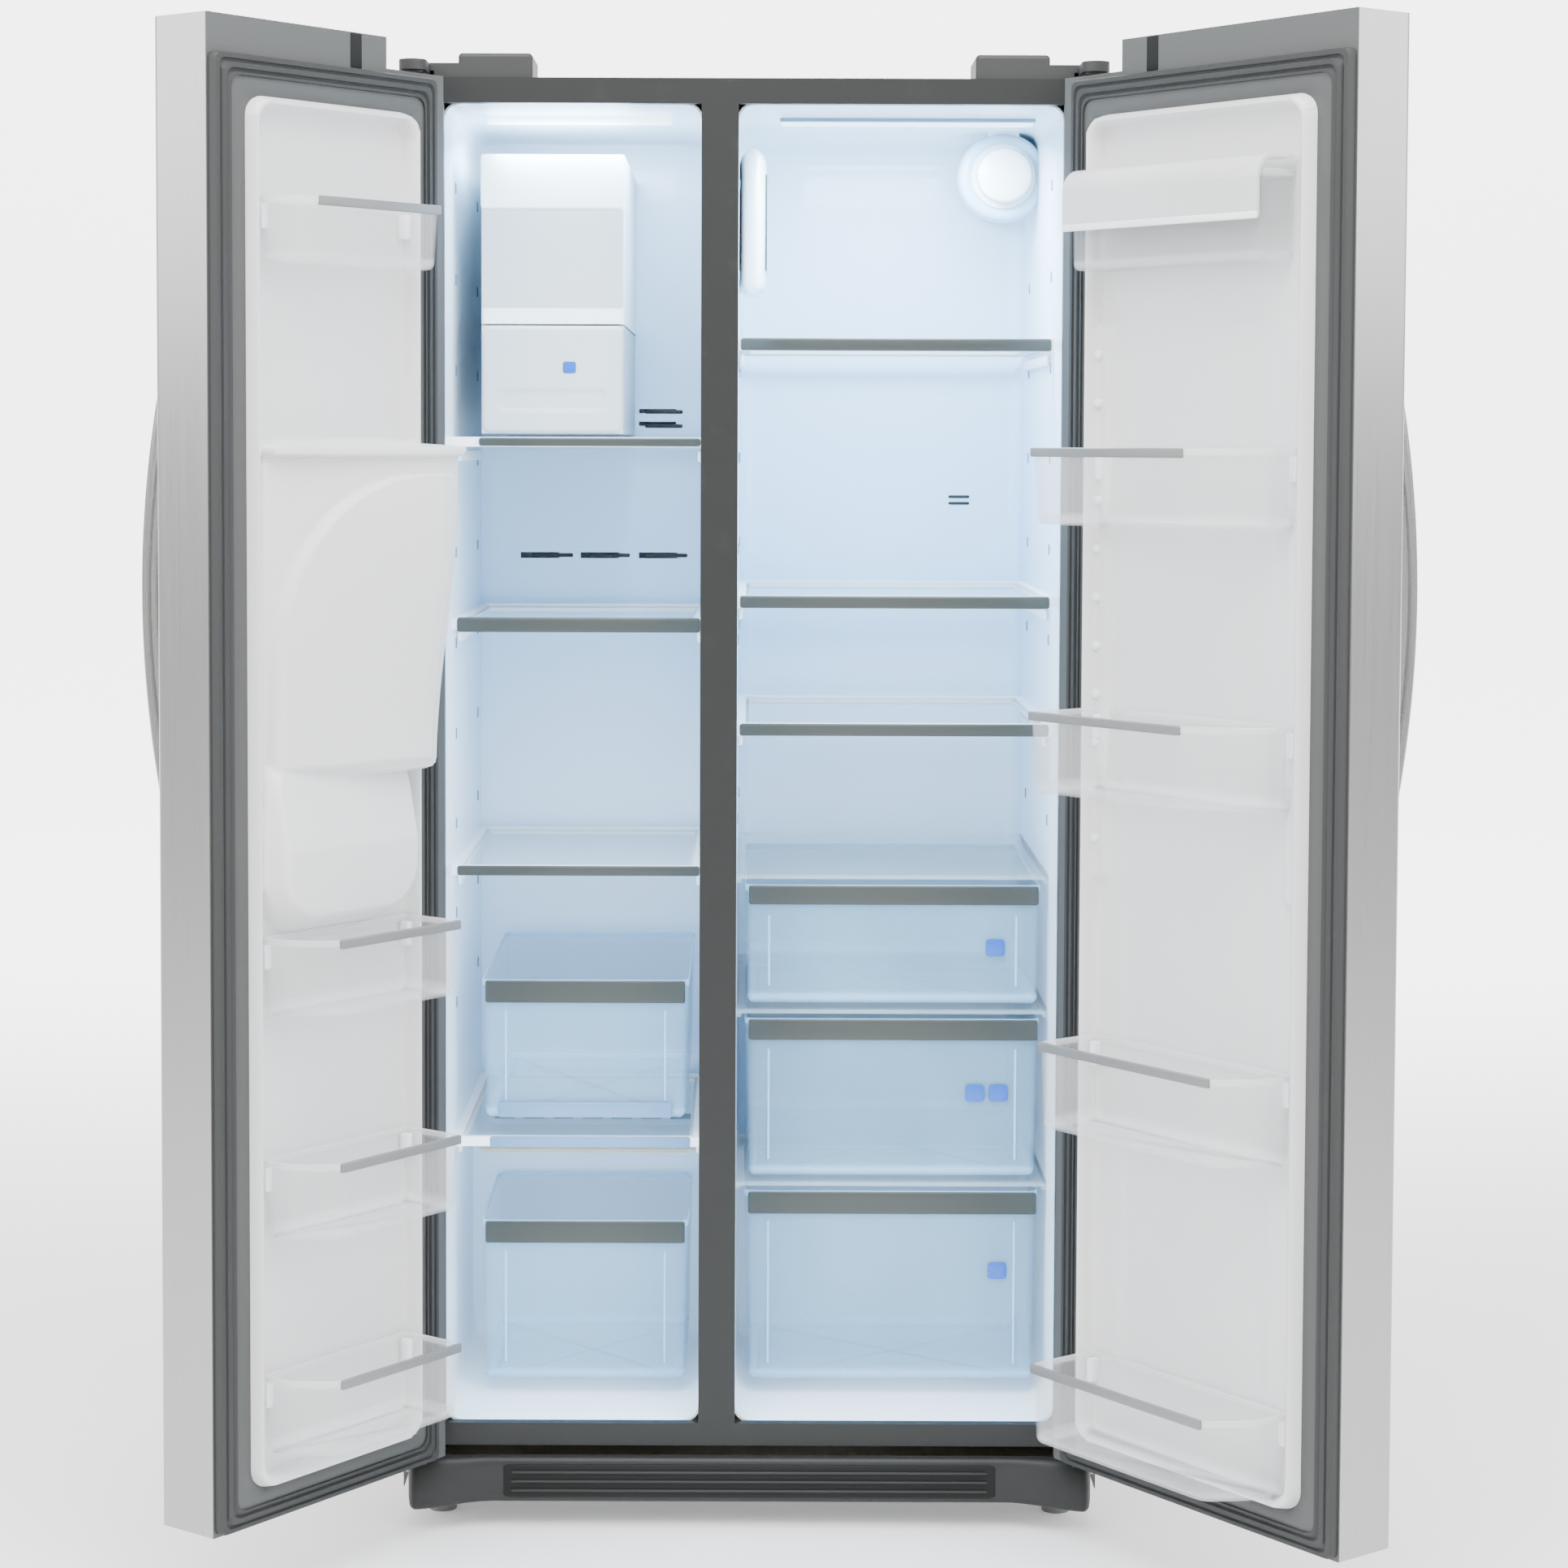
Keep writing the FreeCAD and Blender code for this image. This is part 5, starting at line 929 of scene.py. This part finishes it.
class OBJECT_OT_fridge_liners(BuildStep):
    """Add the round-cornered compartment liners with their shelf ladders"""
    bl_idname = "object.fridge_liners"
    bl_label = "Compartments"

    def build(self, scene):
        radius = scene.fridge_inside.liner_radius
        for node, finish in (("freezer_liner", "cold_liner"), ("fridge_liner", "cool_liner")):
            piece(node + "_shell", [cave(node, radius)], "cabinet", FINISH[finish],
                  [node], 50)
        cool_low, cool_high = box("fridge_liner")
        cold_low, cold_high = box("freezer_liner")
        ledges = []
        for low, high, levels in ((cold_low, cold_high, (1.304, 1.08, 0.777, 0.44)),
                                  (cool_low, cool_high, (1.424, 1.109, 0.952))):
            for level in levels:
                for x0, x1 in ((low[0] + 2.5 * MM, low[0] + 9 * MM), (high[0] - 9 * MM,
                                                                      high[0] - 2.5 * MM)):
                    ledges.append(bar((x0, 0.16, level - 24 * MM), (x1, 0.5, level - 11 * MM), 1, 4,
                                      4 * MM, 20))
        piece("shelf_ledges", ledges, "cabinet", FINISH["white"])
        pockets = []
        for low, high, spots in ((cold_low, cold_high, np.arange(0.60, 1.62, 0.112)),
                                 (cool_low, cool_high, np.arange(0.83, 1.62, 0.112))):
            for x in (low[0] + 1.8 * MM, high[0] - 3.8 * MM):
                for y in (0.150, 0.470):
                    pockets += [bar((x, y, z), (x + 2 * MM, y + 8 * MM, z + 14 * MM), 2, 4,
                                    1.5 * MM, 12)
                                for z in spots]
        piece("shelf_pockets", pockets, "cabinet", FINISH["pocket_blue"])
        y0, y1 = 0.146, 0.149
        slit = bar((cool_low[0] + 52 * MM, y0, cool_high[2] - 9.5 * MM),
                   (cool_high[0] - 24 * MM, y1, cool_high[2] - 4.5 * MM), 0, 3, 2 * MM, 14)
        piece("lamp_slit", [slit], "cabinet", FINISH["pocket_blue"])


# ------------------------------------------------------------------ trims, drawers and badges

TRIMS = [
    # name, body, slot of the part it belongs to, x0, x1, z0, z1
    ("shelf_trims", "cabinet", "shelf_plastic",
     [(-0.015, 0.364, 1.4165, 1.4315), (-0.015, 0.364, 1.1015, 1.1165), (-0.015, 0.364, 0.9445,
                                                                         0.9595),
      (-0.335, -0.064, 1.299, 1.309), (-0.362, -0.064, 1.071, 1.089), (-0.362, -0.064, 0.771,
                                                                       0.783)]),
    ("deli_trim", "deli_drawer", "drawer_clear", [(-0.003, 0.354, 0.736, 0.7595)]),
    ("upper_crisper_trim", "upper_crisper", "drawer_clear", [(-0.003, 0.354, 0.568, 0.5935)]),
    ("lower_crisper_trim", "lower_crisper", "drawer_clear", [(-0.003, 0.354, 0.351, 0.3785)]),
    ("basket_trim", "freezer_basket", "drawer_clear", [(-0.328, -0.081, 0.613, 0.6405)]),
    ("freezer_drawer_trim", "freezer_drawer", "drawer_clear", [(-0.328, -0.081, 0.3135, 0.3405)]),
]


class OBJECT_OT_fridge_trims(BuildStep):
    """Add the brushed steel trims of the shelves and drawers"""
    bl_idname = "object.fridge_trims"
    bl_label = "Trims"

    def build(self, scene):
        deep = scene.fridge_inside.trim_depth
        for name, body, slot, spans in TRIMS:
            y = 116 * MM if body == "cabinet" else 118 * MM
            parts = [bar((x0, y - deep, z0), (x1, y + 0.4 * MM, z1), 0, 3.6, 3 * MM) for x0, x1, z0,
                     z1
                     in spans]
            piece(name, parts, body, FINISH["trim_steel"])
        front = 118 * MM
        bands = [bar((-0.312, front - 3.5 * MM, 0.470), (-0.097, front + 0.5 * MM, 0.489), 0, 5,
                     3 * MM)]
        piece("basket_band", bands, "freezer_basket", FINISH["blue_band"])
        bands = [bar((-0.322, front - 5.5 * MM, 0.433), (-0.075, front - 2 * MM, 0.447), 0, 5,
                     3 * MM)]
        piece("shelf_band", bands, "cabinet", FINISH["blue_band"])


DRAWERS = [("deli_drawer", 12, 3), ("upper_crisper", 16, 5), ("lower_crisper", 16, 6),
           ("freezer_basket", 14, 4), ("freezer_drawer", 14, 4)]


class OBJECT_OT_fridge_drawers(BuildStep):
    """Add the clear drawers with their ribs"""
    bl_idname = "object.fridge_drawers"
    bl_label = "Drawers"

    def build(self, scene):
        for name, corner, draft in DRAWERS:
            low, high = box(name)
            plan = soft_corners([(low[0], low[1]), (high[0], low[1]), (high[0], high[1]),
                                 (low[0], high[1])], corner * MM, 7)
            walls, edge = tray(plan, low[2], high[2], 2.4 * MM, 10 * MM, draft * MM)
            ribs = []
            for x in (low[0] + 30 * MM, high[0] - 30 * MM):
                ribs.append(bar((x - 1.5 * MM, low[1] + 2 * MM, low[2] + 22 * MM),
                                (x + 1.5 * MM, low[1] + 6 * MM, high[2] - 38 * MM), 2, 3, 1.2 * MM,
                                12))
            edges = [np.repeat(edge, len(plan))] + [np.full(r.shape[0] * r.shape[1],
                                                            0.8) for r in ribs]
            piece(name + "_tray", [walls] + ribs, name, FINISH["drawer_clear"],
                  [name],
                  45, edges)


class OBJECT_OT_fridge_badges(BuildStep):
    """Add the plain blue badges"""
    bl_idname = "object.fridge_badges"
    bl_label = "Badges"

    def build(self, scene):
        side = scene.fridge_inside.badge_side
        spots = [("deli_drawer", 0.301, 0.683, 0), ("upper_crisper", 0.277, 0.502, 0),
                 ("upper_crisper", 0.306, 0.502, 0), ("lower_crisper", 0.306, 0.280, 0),
                 ("ice_bin", -0.2245, 1.395, 4 * MM)]
        for number, (body, x, z, proud) in enumerate(spots, start=1):
            front = box(body)[0][1] - proud
            half = side * (0.62 if body == "ice_bin" else 0.9)
            badge = bar((x - half, front - 1.2 * MM, z - half * 0.9), (x + half, front + 1 * MM,
                                                                      z + half * 0.9), 1, 6,
                                                                      0.6 * MM)
            piece(f"badge_{number}", [badge], body, FINISH["blue"])


# ------------------------------------------------------------------ ice maker, duct, filter

class OBJECT_OT_fridge_ice(BuildStep):
    """Add the ice maker's front panels and the bin's recessed grip"""
    bl_idname = "object.fridge_ice"
    bl_label = "Ice maker front"

    def build(self, scene):
        low, high = box("ice_maker")
        bin_low, bin_high = box("ice_bin")
        top = [bar((low[0], low[1] - 3 * MM, 1.589), (high[0], low[1] + 1 * MM, high[2]), 0, 9,
                   3 * MM)]
        piece("ice_hood", top, "cabinet", FINISH["bright_white"])
        grey = [bar((low[0] + 1 * MM, low[1] - 2 * MM, 1.468), (high[0] - 1 * MM, low[1] + 1 * MM,
                                                                1.587),
                    0, 9, 2 * MM)]
        piece("ice_panel", grey, "cabinet", FINISH["ice_grey"])
        front = bin_low[1]
        z = np.linspace(bin_low[2], bin_high[2], 90)
        x = np.linspace(bin_low[0], bin_high[0], 70)
        grid_x, grid_z = np.meshgrid(x, z)
        shape = patch(grid_x, grid_z, (x[0] + 2 * MM, z[0] + 2 * MM),
                      (x[-1] - 2 * MM, z[-1] - 2 * MM),
                      8 * MM, 5 * MM) * 4 * MM
        middle = (x[0] + x[-1]) / 2
        dip = patch(grid_x, grid_z, (middle - 66 * MM, 1.343), (middle + 66 * MM, 1.367), 8 * MM,
                    7 * MM)
        shape = shape - 3.4 * MM * dip
        points = np.stack([grid_x, front - shape, grid_z], -1)
        back = points.copy()
        back[..., 1] = front + 0.2 * MM
        piece("ice_bin_front", [sheet(points, back)], "ice_bin", FINISH["ice_grey"],
              (), 60)


def sheet(front, back):
    """Two grids of the same size joined round their edges into one closed surface."""
    rows, cols = front.shape[:2]
    index = np.arange(rows * cols).reshape(rows, cols)
    one = np.stack([index[:-1, :-1], index[:-1, 1:], index[1:, 1:], index[1:, :-1]], -1).reshape(-1,
                                                                                                 4)
    loop = np.concatenate([index[0], index[1:, -1], index[-1, -2::-1], index[-2:0:-1, 0]])
    other = loop + rows * cols
    skirt = np.stack([loop, np.roll(loop, -1), np.roll(other, -1), other], -1)
    points = np.concatenate([front.reshape(-1, 3), back.reshape(-1, 3)])
    return points, one.tolist() + (one[:, ::-1] + rows * cols).tolist() + skirt.tolist()


class OBJECT_OT_fridge_fittings(BuildStep):
    """Add the air duct, the filter's shroud and cap, and the wall vents"""
    bl_idname = "object.fridge_fittings"
    bl_label = "Fittings"

    def build(self, scene):
        low, high = box("air_duct_tower")
        tower = [bar(low, high, 2, 3.0, 16 * MM, 40)]
        piece("air_duct", tower, "cabinet", FINISH["bright_white"],
              ["air_duct_tower"])
        slots = [bar((high[0] - 1 * MM, y, low[2] + 30 * MM), (high[0] + 0.8 * MM, y + 6 * MM,
                                                              high[2] - 30 * MM), 2, 3, 2 * MM, 12)
                 for y in np.linspace(low[1] + 40 * MM, high[1] - 46 * MM, 7)]
        piece("duct_slots", slots, "cabinet", FINISH["grille_grey"])
        low, high = box("filter_cartridge")
        centre = np.array([(low[0] + high[0]) / 2, low[1], (low[2] + high[2]) / 2])
        r = (high[0] - low[0]) / 2
        cap = [(-0.5, 1), (-1.5, r - 9 * MM), (0.5, r - 4 * MM), (3, r - 1.2 * MM),
               (6, r - 0.3 * MM),
               (12, r - 0.3 * MM), (12.2, 1)]
        cap = [(a * MM, b if b != 1 else 0.5 * MM) for a, b in cap]
        piece("filter_cap", [revolve(cap, centre, 1)], "filter_cartridge",
              FINISH["bright_white"])
        collar = [(30, 3), (26, 12), (28, 19), (36, 22), (60, 23), (60, 3), (30, 3)]
        collar = [(a * MM, r + b * MM) for a, b in collar[:-1]]
        ring = revolve(collar, centre, 1)
        piece("filter_collar", [torus(ring)], "cabinet", FINISH["filter_ring"], (),
              60)
        cold_low, _ = box("evaporator_cover")
        y = cold_low[1] - 1.2 * MM
        dark = [bar((x0, y, z - 2.5 * MM), (x0 + w, y + 2 * MM, z + 2.5 * MM), 0, 4, 2 * MM, 12)
                for x0, w, z in ((-0.146, 0.051, 1.345), (-0.146, 0.051, 1.326),
                                 (-0.299, 0.056, 1.151),
                                 (-0.222, 0.056, 1.151), (-0.144, 0.056, 1.151))]
        piece("freezer_vents", dark, "cabinet", FINISH["grille_grey"])
        y = box("fridge_liner")[1][1] - 4 * MM
        dark = [bar((0.268, y, z - 2 * MM), (0.297, y + 2 * MM, z + 2 * MM), 0, 4, 2 * MM, 12)
                for z in (1.231, 1.222)]
        piece("fridge_vent", dark, "cabinet", FINISH["grille_grey"])


def torus(ring):
    """A revolved closed profile: the last row joins the first, so it has no end faces."""
    rows, cols = ring.shape[:2]
    index = np.arange(rows * cols).reshape(rows, cols)
    down, side = np.roll(index, -1, 0), np.roll(index, -1, 1)
    both = np.roll(down, -1, 1)
    return ring.reshape(-1, 3), np.stack([index, side, both, down], -1).reshape(-1, 4).tolist()


# ------------------------------------------------------------------ outside

class OBJECT_OT_fridge_grille(BuildStep):
    """Add the toe grille with its sculpted feet and louvres"""
    bl_idname = "object.fridge_grille"
    bl_label = "Toe grille"

    def build(self, scene):
        low, high = box("toe_grille")
        half = high[0]
        x = np.linspace(-half, half, 240)
        away = np.clip((half - np.abs(x)) / 0.105, 0, 1)
        foot = 1 - away * away * (3 - 2 * away)
        tip = np.clip((half - np.abs(x)) / 0.012, 0, 1)
        tip = np.sqrt(np.clip(tip * (2 - tip), 0.02, 1))
        face = low[1] * foot + (-24 * MM) * (1 - foot)
        bottom = low[2] + 6 * MM * (1 - foot)
        turn = np.linspace(0, 2 * np.pi, 48, endpoint=False)
        a = np.sign(np.cos(turn)) * np.abs(np.cos(turn)) ** 0.45
        b = np.sign(np.sin(turn)) * np.abs(np.sin(turn)) ** 0.45
        back = high[1] - 0.5 * MM
        centre = (face * tip + back * (2 - tip)) / 2
        deep = (back - face) * tip / 2
        tall = (high[2] - bottom) / 2 * (0.75 + 0.25 * tip)
        out = np.empty((len(x), len(turn), 3))
        out[..., 0] = x[:, None]
        lean = 1 - 0.3 * foot[:, None] * np.clip(b, 0, 1)
        out[..., 1] = back + ((centre - back)[:, None] + deep[:, None] * a) * lean
        out[..., 2] = ((high[2] + bottom) / 2)[:, None] + tall[:, None] * b
        piece("grille_body", [out], "cabinet", FINISH["grille_grey"], ["toe_grille"],
              50)
        span = 0.300
        inset = bar((-span, -26 * MM, low[2] + 13 * MM), (span, -20 * MM, high[2] - 7 * MM), 0, 6,
                    12 * MM)
        piece("grille_inset", [inset], "cabinet", FINISH["grille_dark"])
        count = scene.fridge_inside.grille_fins
        heights = np.linspace(low[2] + 22 * MM, high[2] - 16 * MM, count)
        fins = [bar((-span + 14 * MM, -28.5 * MM, z - 1.6 * MM), (span - 14 * MM, -24 * MM,
                                                                  z + 1.6 * MM),
                    0, 3, 2 * MM, 14) for z in heights]
        piece("grille_fins", fins, "cabinet", FINISH["grille_grey"])


class OBJECT_OT_fridge_back(BuildStep):
    """Add the pressed rear panel and the screws of the rear cover"""
    bl_idname = "object.fridge_back"
    bl_label = "Rear panel"

    def build(self, scene):
        """The panel sinks by a rounded ring round each of three fields: an outer rounded patch
        less a smaller one inside it."""
        low, high = box("back_panel")
        x, z = np.meshgrid(np.linspace(high[0], low[0], 150), np.linspace(low[2], high[2], 200))
        sunk = np.zeros_like(x)
        for middle in (-0.265, 0.0, 0.265):
            field = ((middle - 0.105, low[2] + 0.10), (middle + 0.105, high[2] - 0.12))
            inner = tuple((a + s, b + s) for (a, b), s in zip(field, (14 * MM, -14 * MM)))
            sunk += patch(x, z, *field, 46 * MM, 8 * MM) - patch(x, z, *inner, 34 * MM, 8 * MM)
        face = np.stack([x, high[1] - 2.2 * MM * sunk, z], -1)
        back = np.stack([x, np.full_like(x, high[1] - 3 * MM), z], -1)
        piece("rear_panel", [sheet(face, back)], "cabinet", FINISH["zinc"],
              ["back_panel"], 60)
        low, high = box("machine_cover")
        screws = [bar((x - 4 * MM, high[1] - 0.5 * MM, z - 4 * MM),
                      (x + 4 * MM, high[1] + 2.4 * MM, z + 4 * MM), 1, 2, 1.2 * MM, 14)
                  for x in np.linspace(low[0] + 16 * MM, high[0] - 16 * MM, 5)
                  for z in (low[2] + 14 * MM, high[2] - 14 * MM)]
        piece("rear_screws", screws, "cabinet", FINISH["leg_steel"])


class OBJECT_OT_fridge_outside(BuildStep):
    """Add the dispenser's buttons and the doors' small fittings"""
    bl_idname = "object.fridge_outside"
    bl_label = "Outside details"

    def build(self, scene):
        low, high = FREEZER.box("control_panel")
        y = low[1]
        pads = [bar((d - 9 * MM, y - 0.6 * MM, z - 6 * MM), (d + 9 * MM, y + 0.6 * MM, z + 6 * MM),
                    1, 3,
                    0.4 * MM, 24)
                for d in np.linspace(low[0] + 26 * MM, high[0] - 26 * MM, 5)
                for z in (low[2] + 26 * MM, low[2] + 56 * MM)]
        piece("panel_pads", [FREEZER.rest(p) for p in pads], "freezer_door",
              FINISH["paddle_grey"])
        display = bar((low[0] + 50 * MM, y - 0.5 * MM, high[2] - 34 * MM),
                      (high[0] - 50 * MM, y + 0.6 * MM, high[2] - 14 * MM), 1, 8, 0.4 * MM)
        piece("panel_display", [FREEZER.rest(display)], "freezer_door",
              FINISH["blue"])
        for door in (FREEZER, FRIDGE):
            low, high = door.box(door.body + "_skin")
            slot = bar((0.137, high[1] - 0.6 * MM, high[2] - 40 * MM), (0.155, high[1] + 0.9 * MM,
                                                                      high[2] - 1 * MM), 2, 6,
                                                                      1 * MM)
            piece(door.body + "_latch", [door.rest(slot)], door.body,
                  FINISH["grille_dark"])


# ------------------------------------------------------------------ stage

class OBJECT_OT_fridge_stage(BuildStep):
    """Add the floor, the lights and the camera"""
    bl_idname = "object.fridge_stage"
    bl_label = "Stage"

    def build(self, scene):
        stage = scene.fridge_stage
        self.floor()
        lights = [
            # place, size, power, colour, aimed at
            ((-2.8, -3.2, 3.0), 2.4, 120, (1, 1, 1), (0, 0, 0.9)),
            ((2.8, -3.2, 3.0), 2.4, 120, (1, 1, 1), (0, 0, 0.9)),
            ((0, -1.9, 4.2), 3.0, 330, (1, 1, 1), (0, -0.2, 0.6)),
            ((-4.2, -0.6, 2.6), 2.2, 85, (1, 1, 1), (0, -0.2, 1.1)),
            ((4.2, -0.6, 2.6), 2.2, 85, (1, 1, 1), (0, -0.2, 1.1)),
            ((0, 3.0, 3.4), 2.5, 60, (1, 1, 1), (0, 0.6, 1.0)),
        ]
        for place, width, power, tint, target in lights:
            self.lamp(place, width, power, tint, target)
        cold_low, cold_high = box("freezer_liner")
        cool_low, cool_high = box("fridge_liner")
        for low, high, power in ((cold_low, cold_high, 8.0), (cool_low, cool_high, 10.0)):
            x = (low[0] + high[0]) / 2
            self.lamp((x, 0.012, 0.86), high[0] - low[0] - 0.04, power * 0.62, (0.70, 0.87, 1.0),
                      (x, 0.6, 0.86), 1.5)
            self.lamp((x, 0.19, high[2] - 30 * MM), 0.20, power, (0.66, 0.85, 1.0), (x, 0.30, 0.9))
        world = bpy.data.worlds.new("studio")
        world.use_nodes = True
        world.node_tree.nodes["Background"].inputs[0].default_value = (1, 1, 1, 1)
        world.node_tree.nodes["Background"].inputs[1].default_value = 0.62
        scene.world = world
        data = bpy.data.cameras.new("camera")
        camera = bpy.data.objects.new("camera", data)
        scene.collection.objects.link(camera)
        scene.camera = camera
        data.sensor_width = 36
        data.lens = stage.lens
        data.shift_x = stage.shift_x
        data.shift_y = stage.shift_y
        data.clip_end = 60
        turn = (Matrix.Rotation(math.pi / 2 - stage.pitch, 4, "X")
                @ Matrix.Rotation(stage.roll, 4, "Z"))
        camera.matrix_world = Matrix.Translation((0, -stage.eye_distance, stage.eye_height)) @ turn

    def floor(self):
        """A floor that sweeps up behind into a wall: a quarter circle joins the two."""
        t = np.linspace(0, np.pi / 2, 16)
        reach, radius, top = 9.0, 3.0, 9.0
        run = np.concatenate([[-reach], reach - radius + radius * np.sin(t), [reach]])
        rise = np.concatenate([[0], radius * (1 - np.cos(t)), [top]])
        x = np.array([-12.0, 12.0])
        points = np.stack([np.repeat(x, len(run)), np.tile(run, 2), np.tile(rise, 2)], 1)
        index = np.arange(len(points)).reshape(2, -1)
        quads = np.stack([index[0, :-1], index[1, :-1], index[1, 1:], index[0, 1:]], -1)
        mesh = bpy.data.meshes.new("floor")
        mesh.from_pydata(points.tolist(), [], quads.tolist())
        mesh.shade_smooth()
        shade = Shade("floor", Roughness=0.6)
        shade.set("Base Color", (0.93, 0.93, 0.93))
        behind = shade.step(shade.along((0, 1, 0)), 0.9, 4.5)
        shade.set("Emission Color", shade.mix(behind, (0.06, 0.06, 0.06), (1, 1, 1)))
        shade.set("Emission Strength", 3.2)
        mesh.materials.append(shade.material)
        made = bpy.data.objects.new("floor", mesh)
        bpy.context.scene.collection.objects.link(made)

    def lamp(self, place, width, power, tint, target, tall=None):
        """A square area lamp aimed at a target, or a tall one that stays out of reflections."""
        data = bpy.data.lights.new("lamp", "AREA")
        data.shape = "RECTANGLE"
        data.size = width
        data.size_y = tall or width
        data.energy = power
        data.color = tint
        lamp = bpy.data.objects.new("lamp", data)
        bpy.context.scene.collection.objects.link(lamp)
        away = np.array(place, float) - np.array(target, float)
        level = math.hypot(away[0], away[1])
        lamp.rotation_euler = (math.atan2(level, away[2]), 0, math.atan2(away[0], -away[1]))
        lamp.location = place
        lamp.visible_glossy = tall is None


GROUPS = {"fridge_doors": DoorSizes, "fridge_inside": InsideSizes, "fridge_colours": Colours,
          "fridge_stage": StageSizes}
STEPS = (OBJECT_OT_fridge_finishes, OBJECT_OT_fridge_handles, OBJECT_OT_fridge_door_liners,
         OBJECT_OT_fridge_door_bins, OBJECT_OT_fridge_liners, OBJECT_OT_fridge_trims,
         OBJECT_OT_fridge_drawers, OBJECT_OT_fridge_badges, OBJECT_OT_fridge_ice,
         OBJECT_OT_fridge_fittings, OBJECT_OT_fridge_grille, OBJECT_OT_fridge_back,
         OBJECT_OT_fridge_outside,
         OBJECT_OT_fridge_stage)


class VIEW3D_PT_fridge(Panel):
    """The steps and sizes of the refrigerator"""
    bl_label = "Refrigerator"
    bl_idname = "VIEW3D_PT_fridge"
    bl_space_type = "VIEW_3D"
    bl_region_type = "UI"
    bl_category = "Refrigerator"

    def draw(self, context):
        for step in STEPS:
            self.layout.operator(step.bl_idname)
        for name, group in GROUPS.items():
            block = self.layout.box()
            for prop in group.__annotations__:
                block.prop(getattr(context.scene, name), prop)


def register():
    for kind in (*GROUPS.values(), *STEPS, VIEW3D_PT_fridge):
        bpy.utils.register_class(kind)
    for name, group in GROUPS.items():
        setattr(bpy.types.Scene, name, PointerProperty(type=group))


def unregister():
    for name in GROUPS:
        delattr(bpy.types.Scene, name)
    for kind in (VIEW3D_PT_fridge, *reversed(STEPS), *GROUPS.values()):
        bpy.utils.unregister_class(kind)


def main():
    """Builds every piece in order."""
    register()
    for step in STEPS:
        getattr(bpy.ops.object, step.bl_idname.split(".")[1])()


if __name__ == "__main__":
    main()
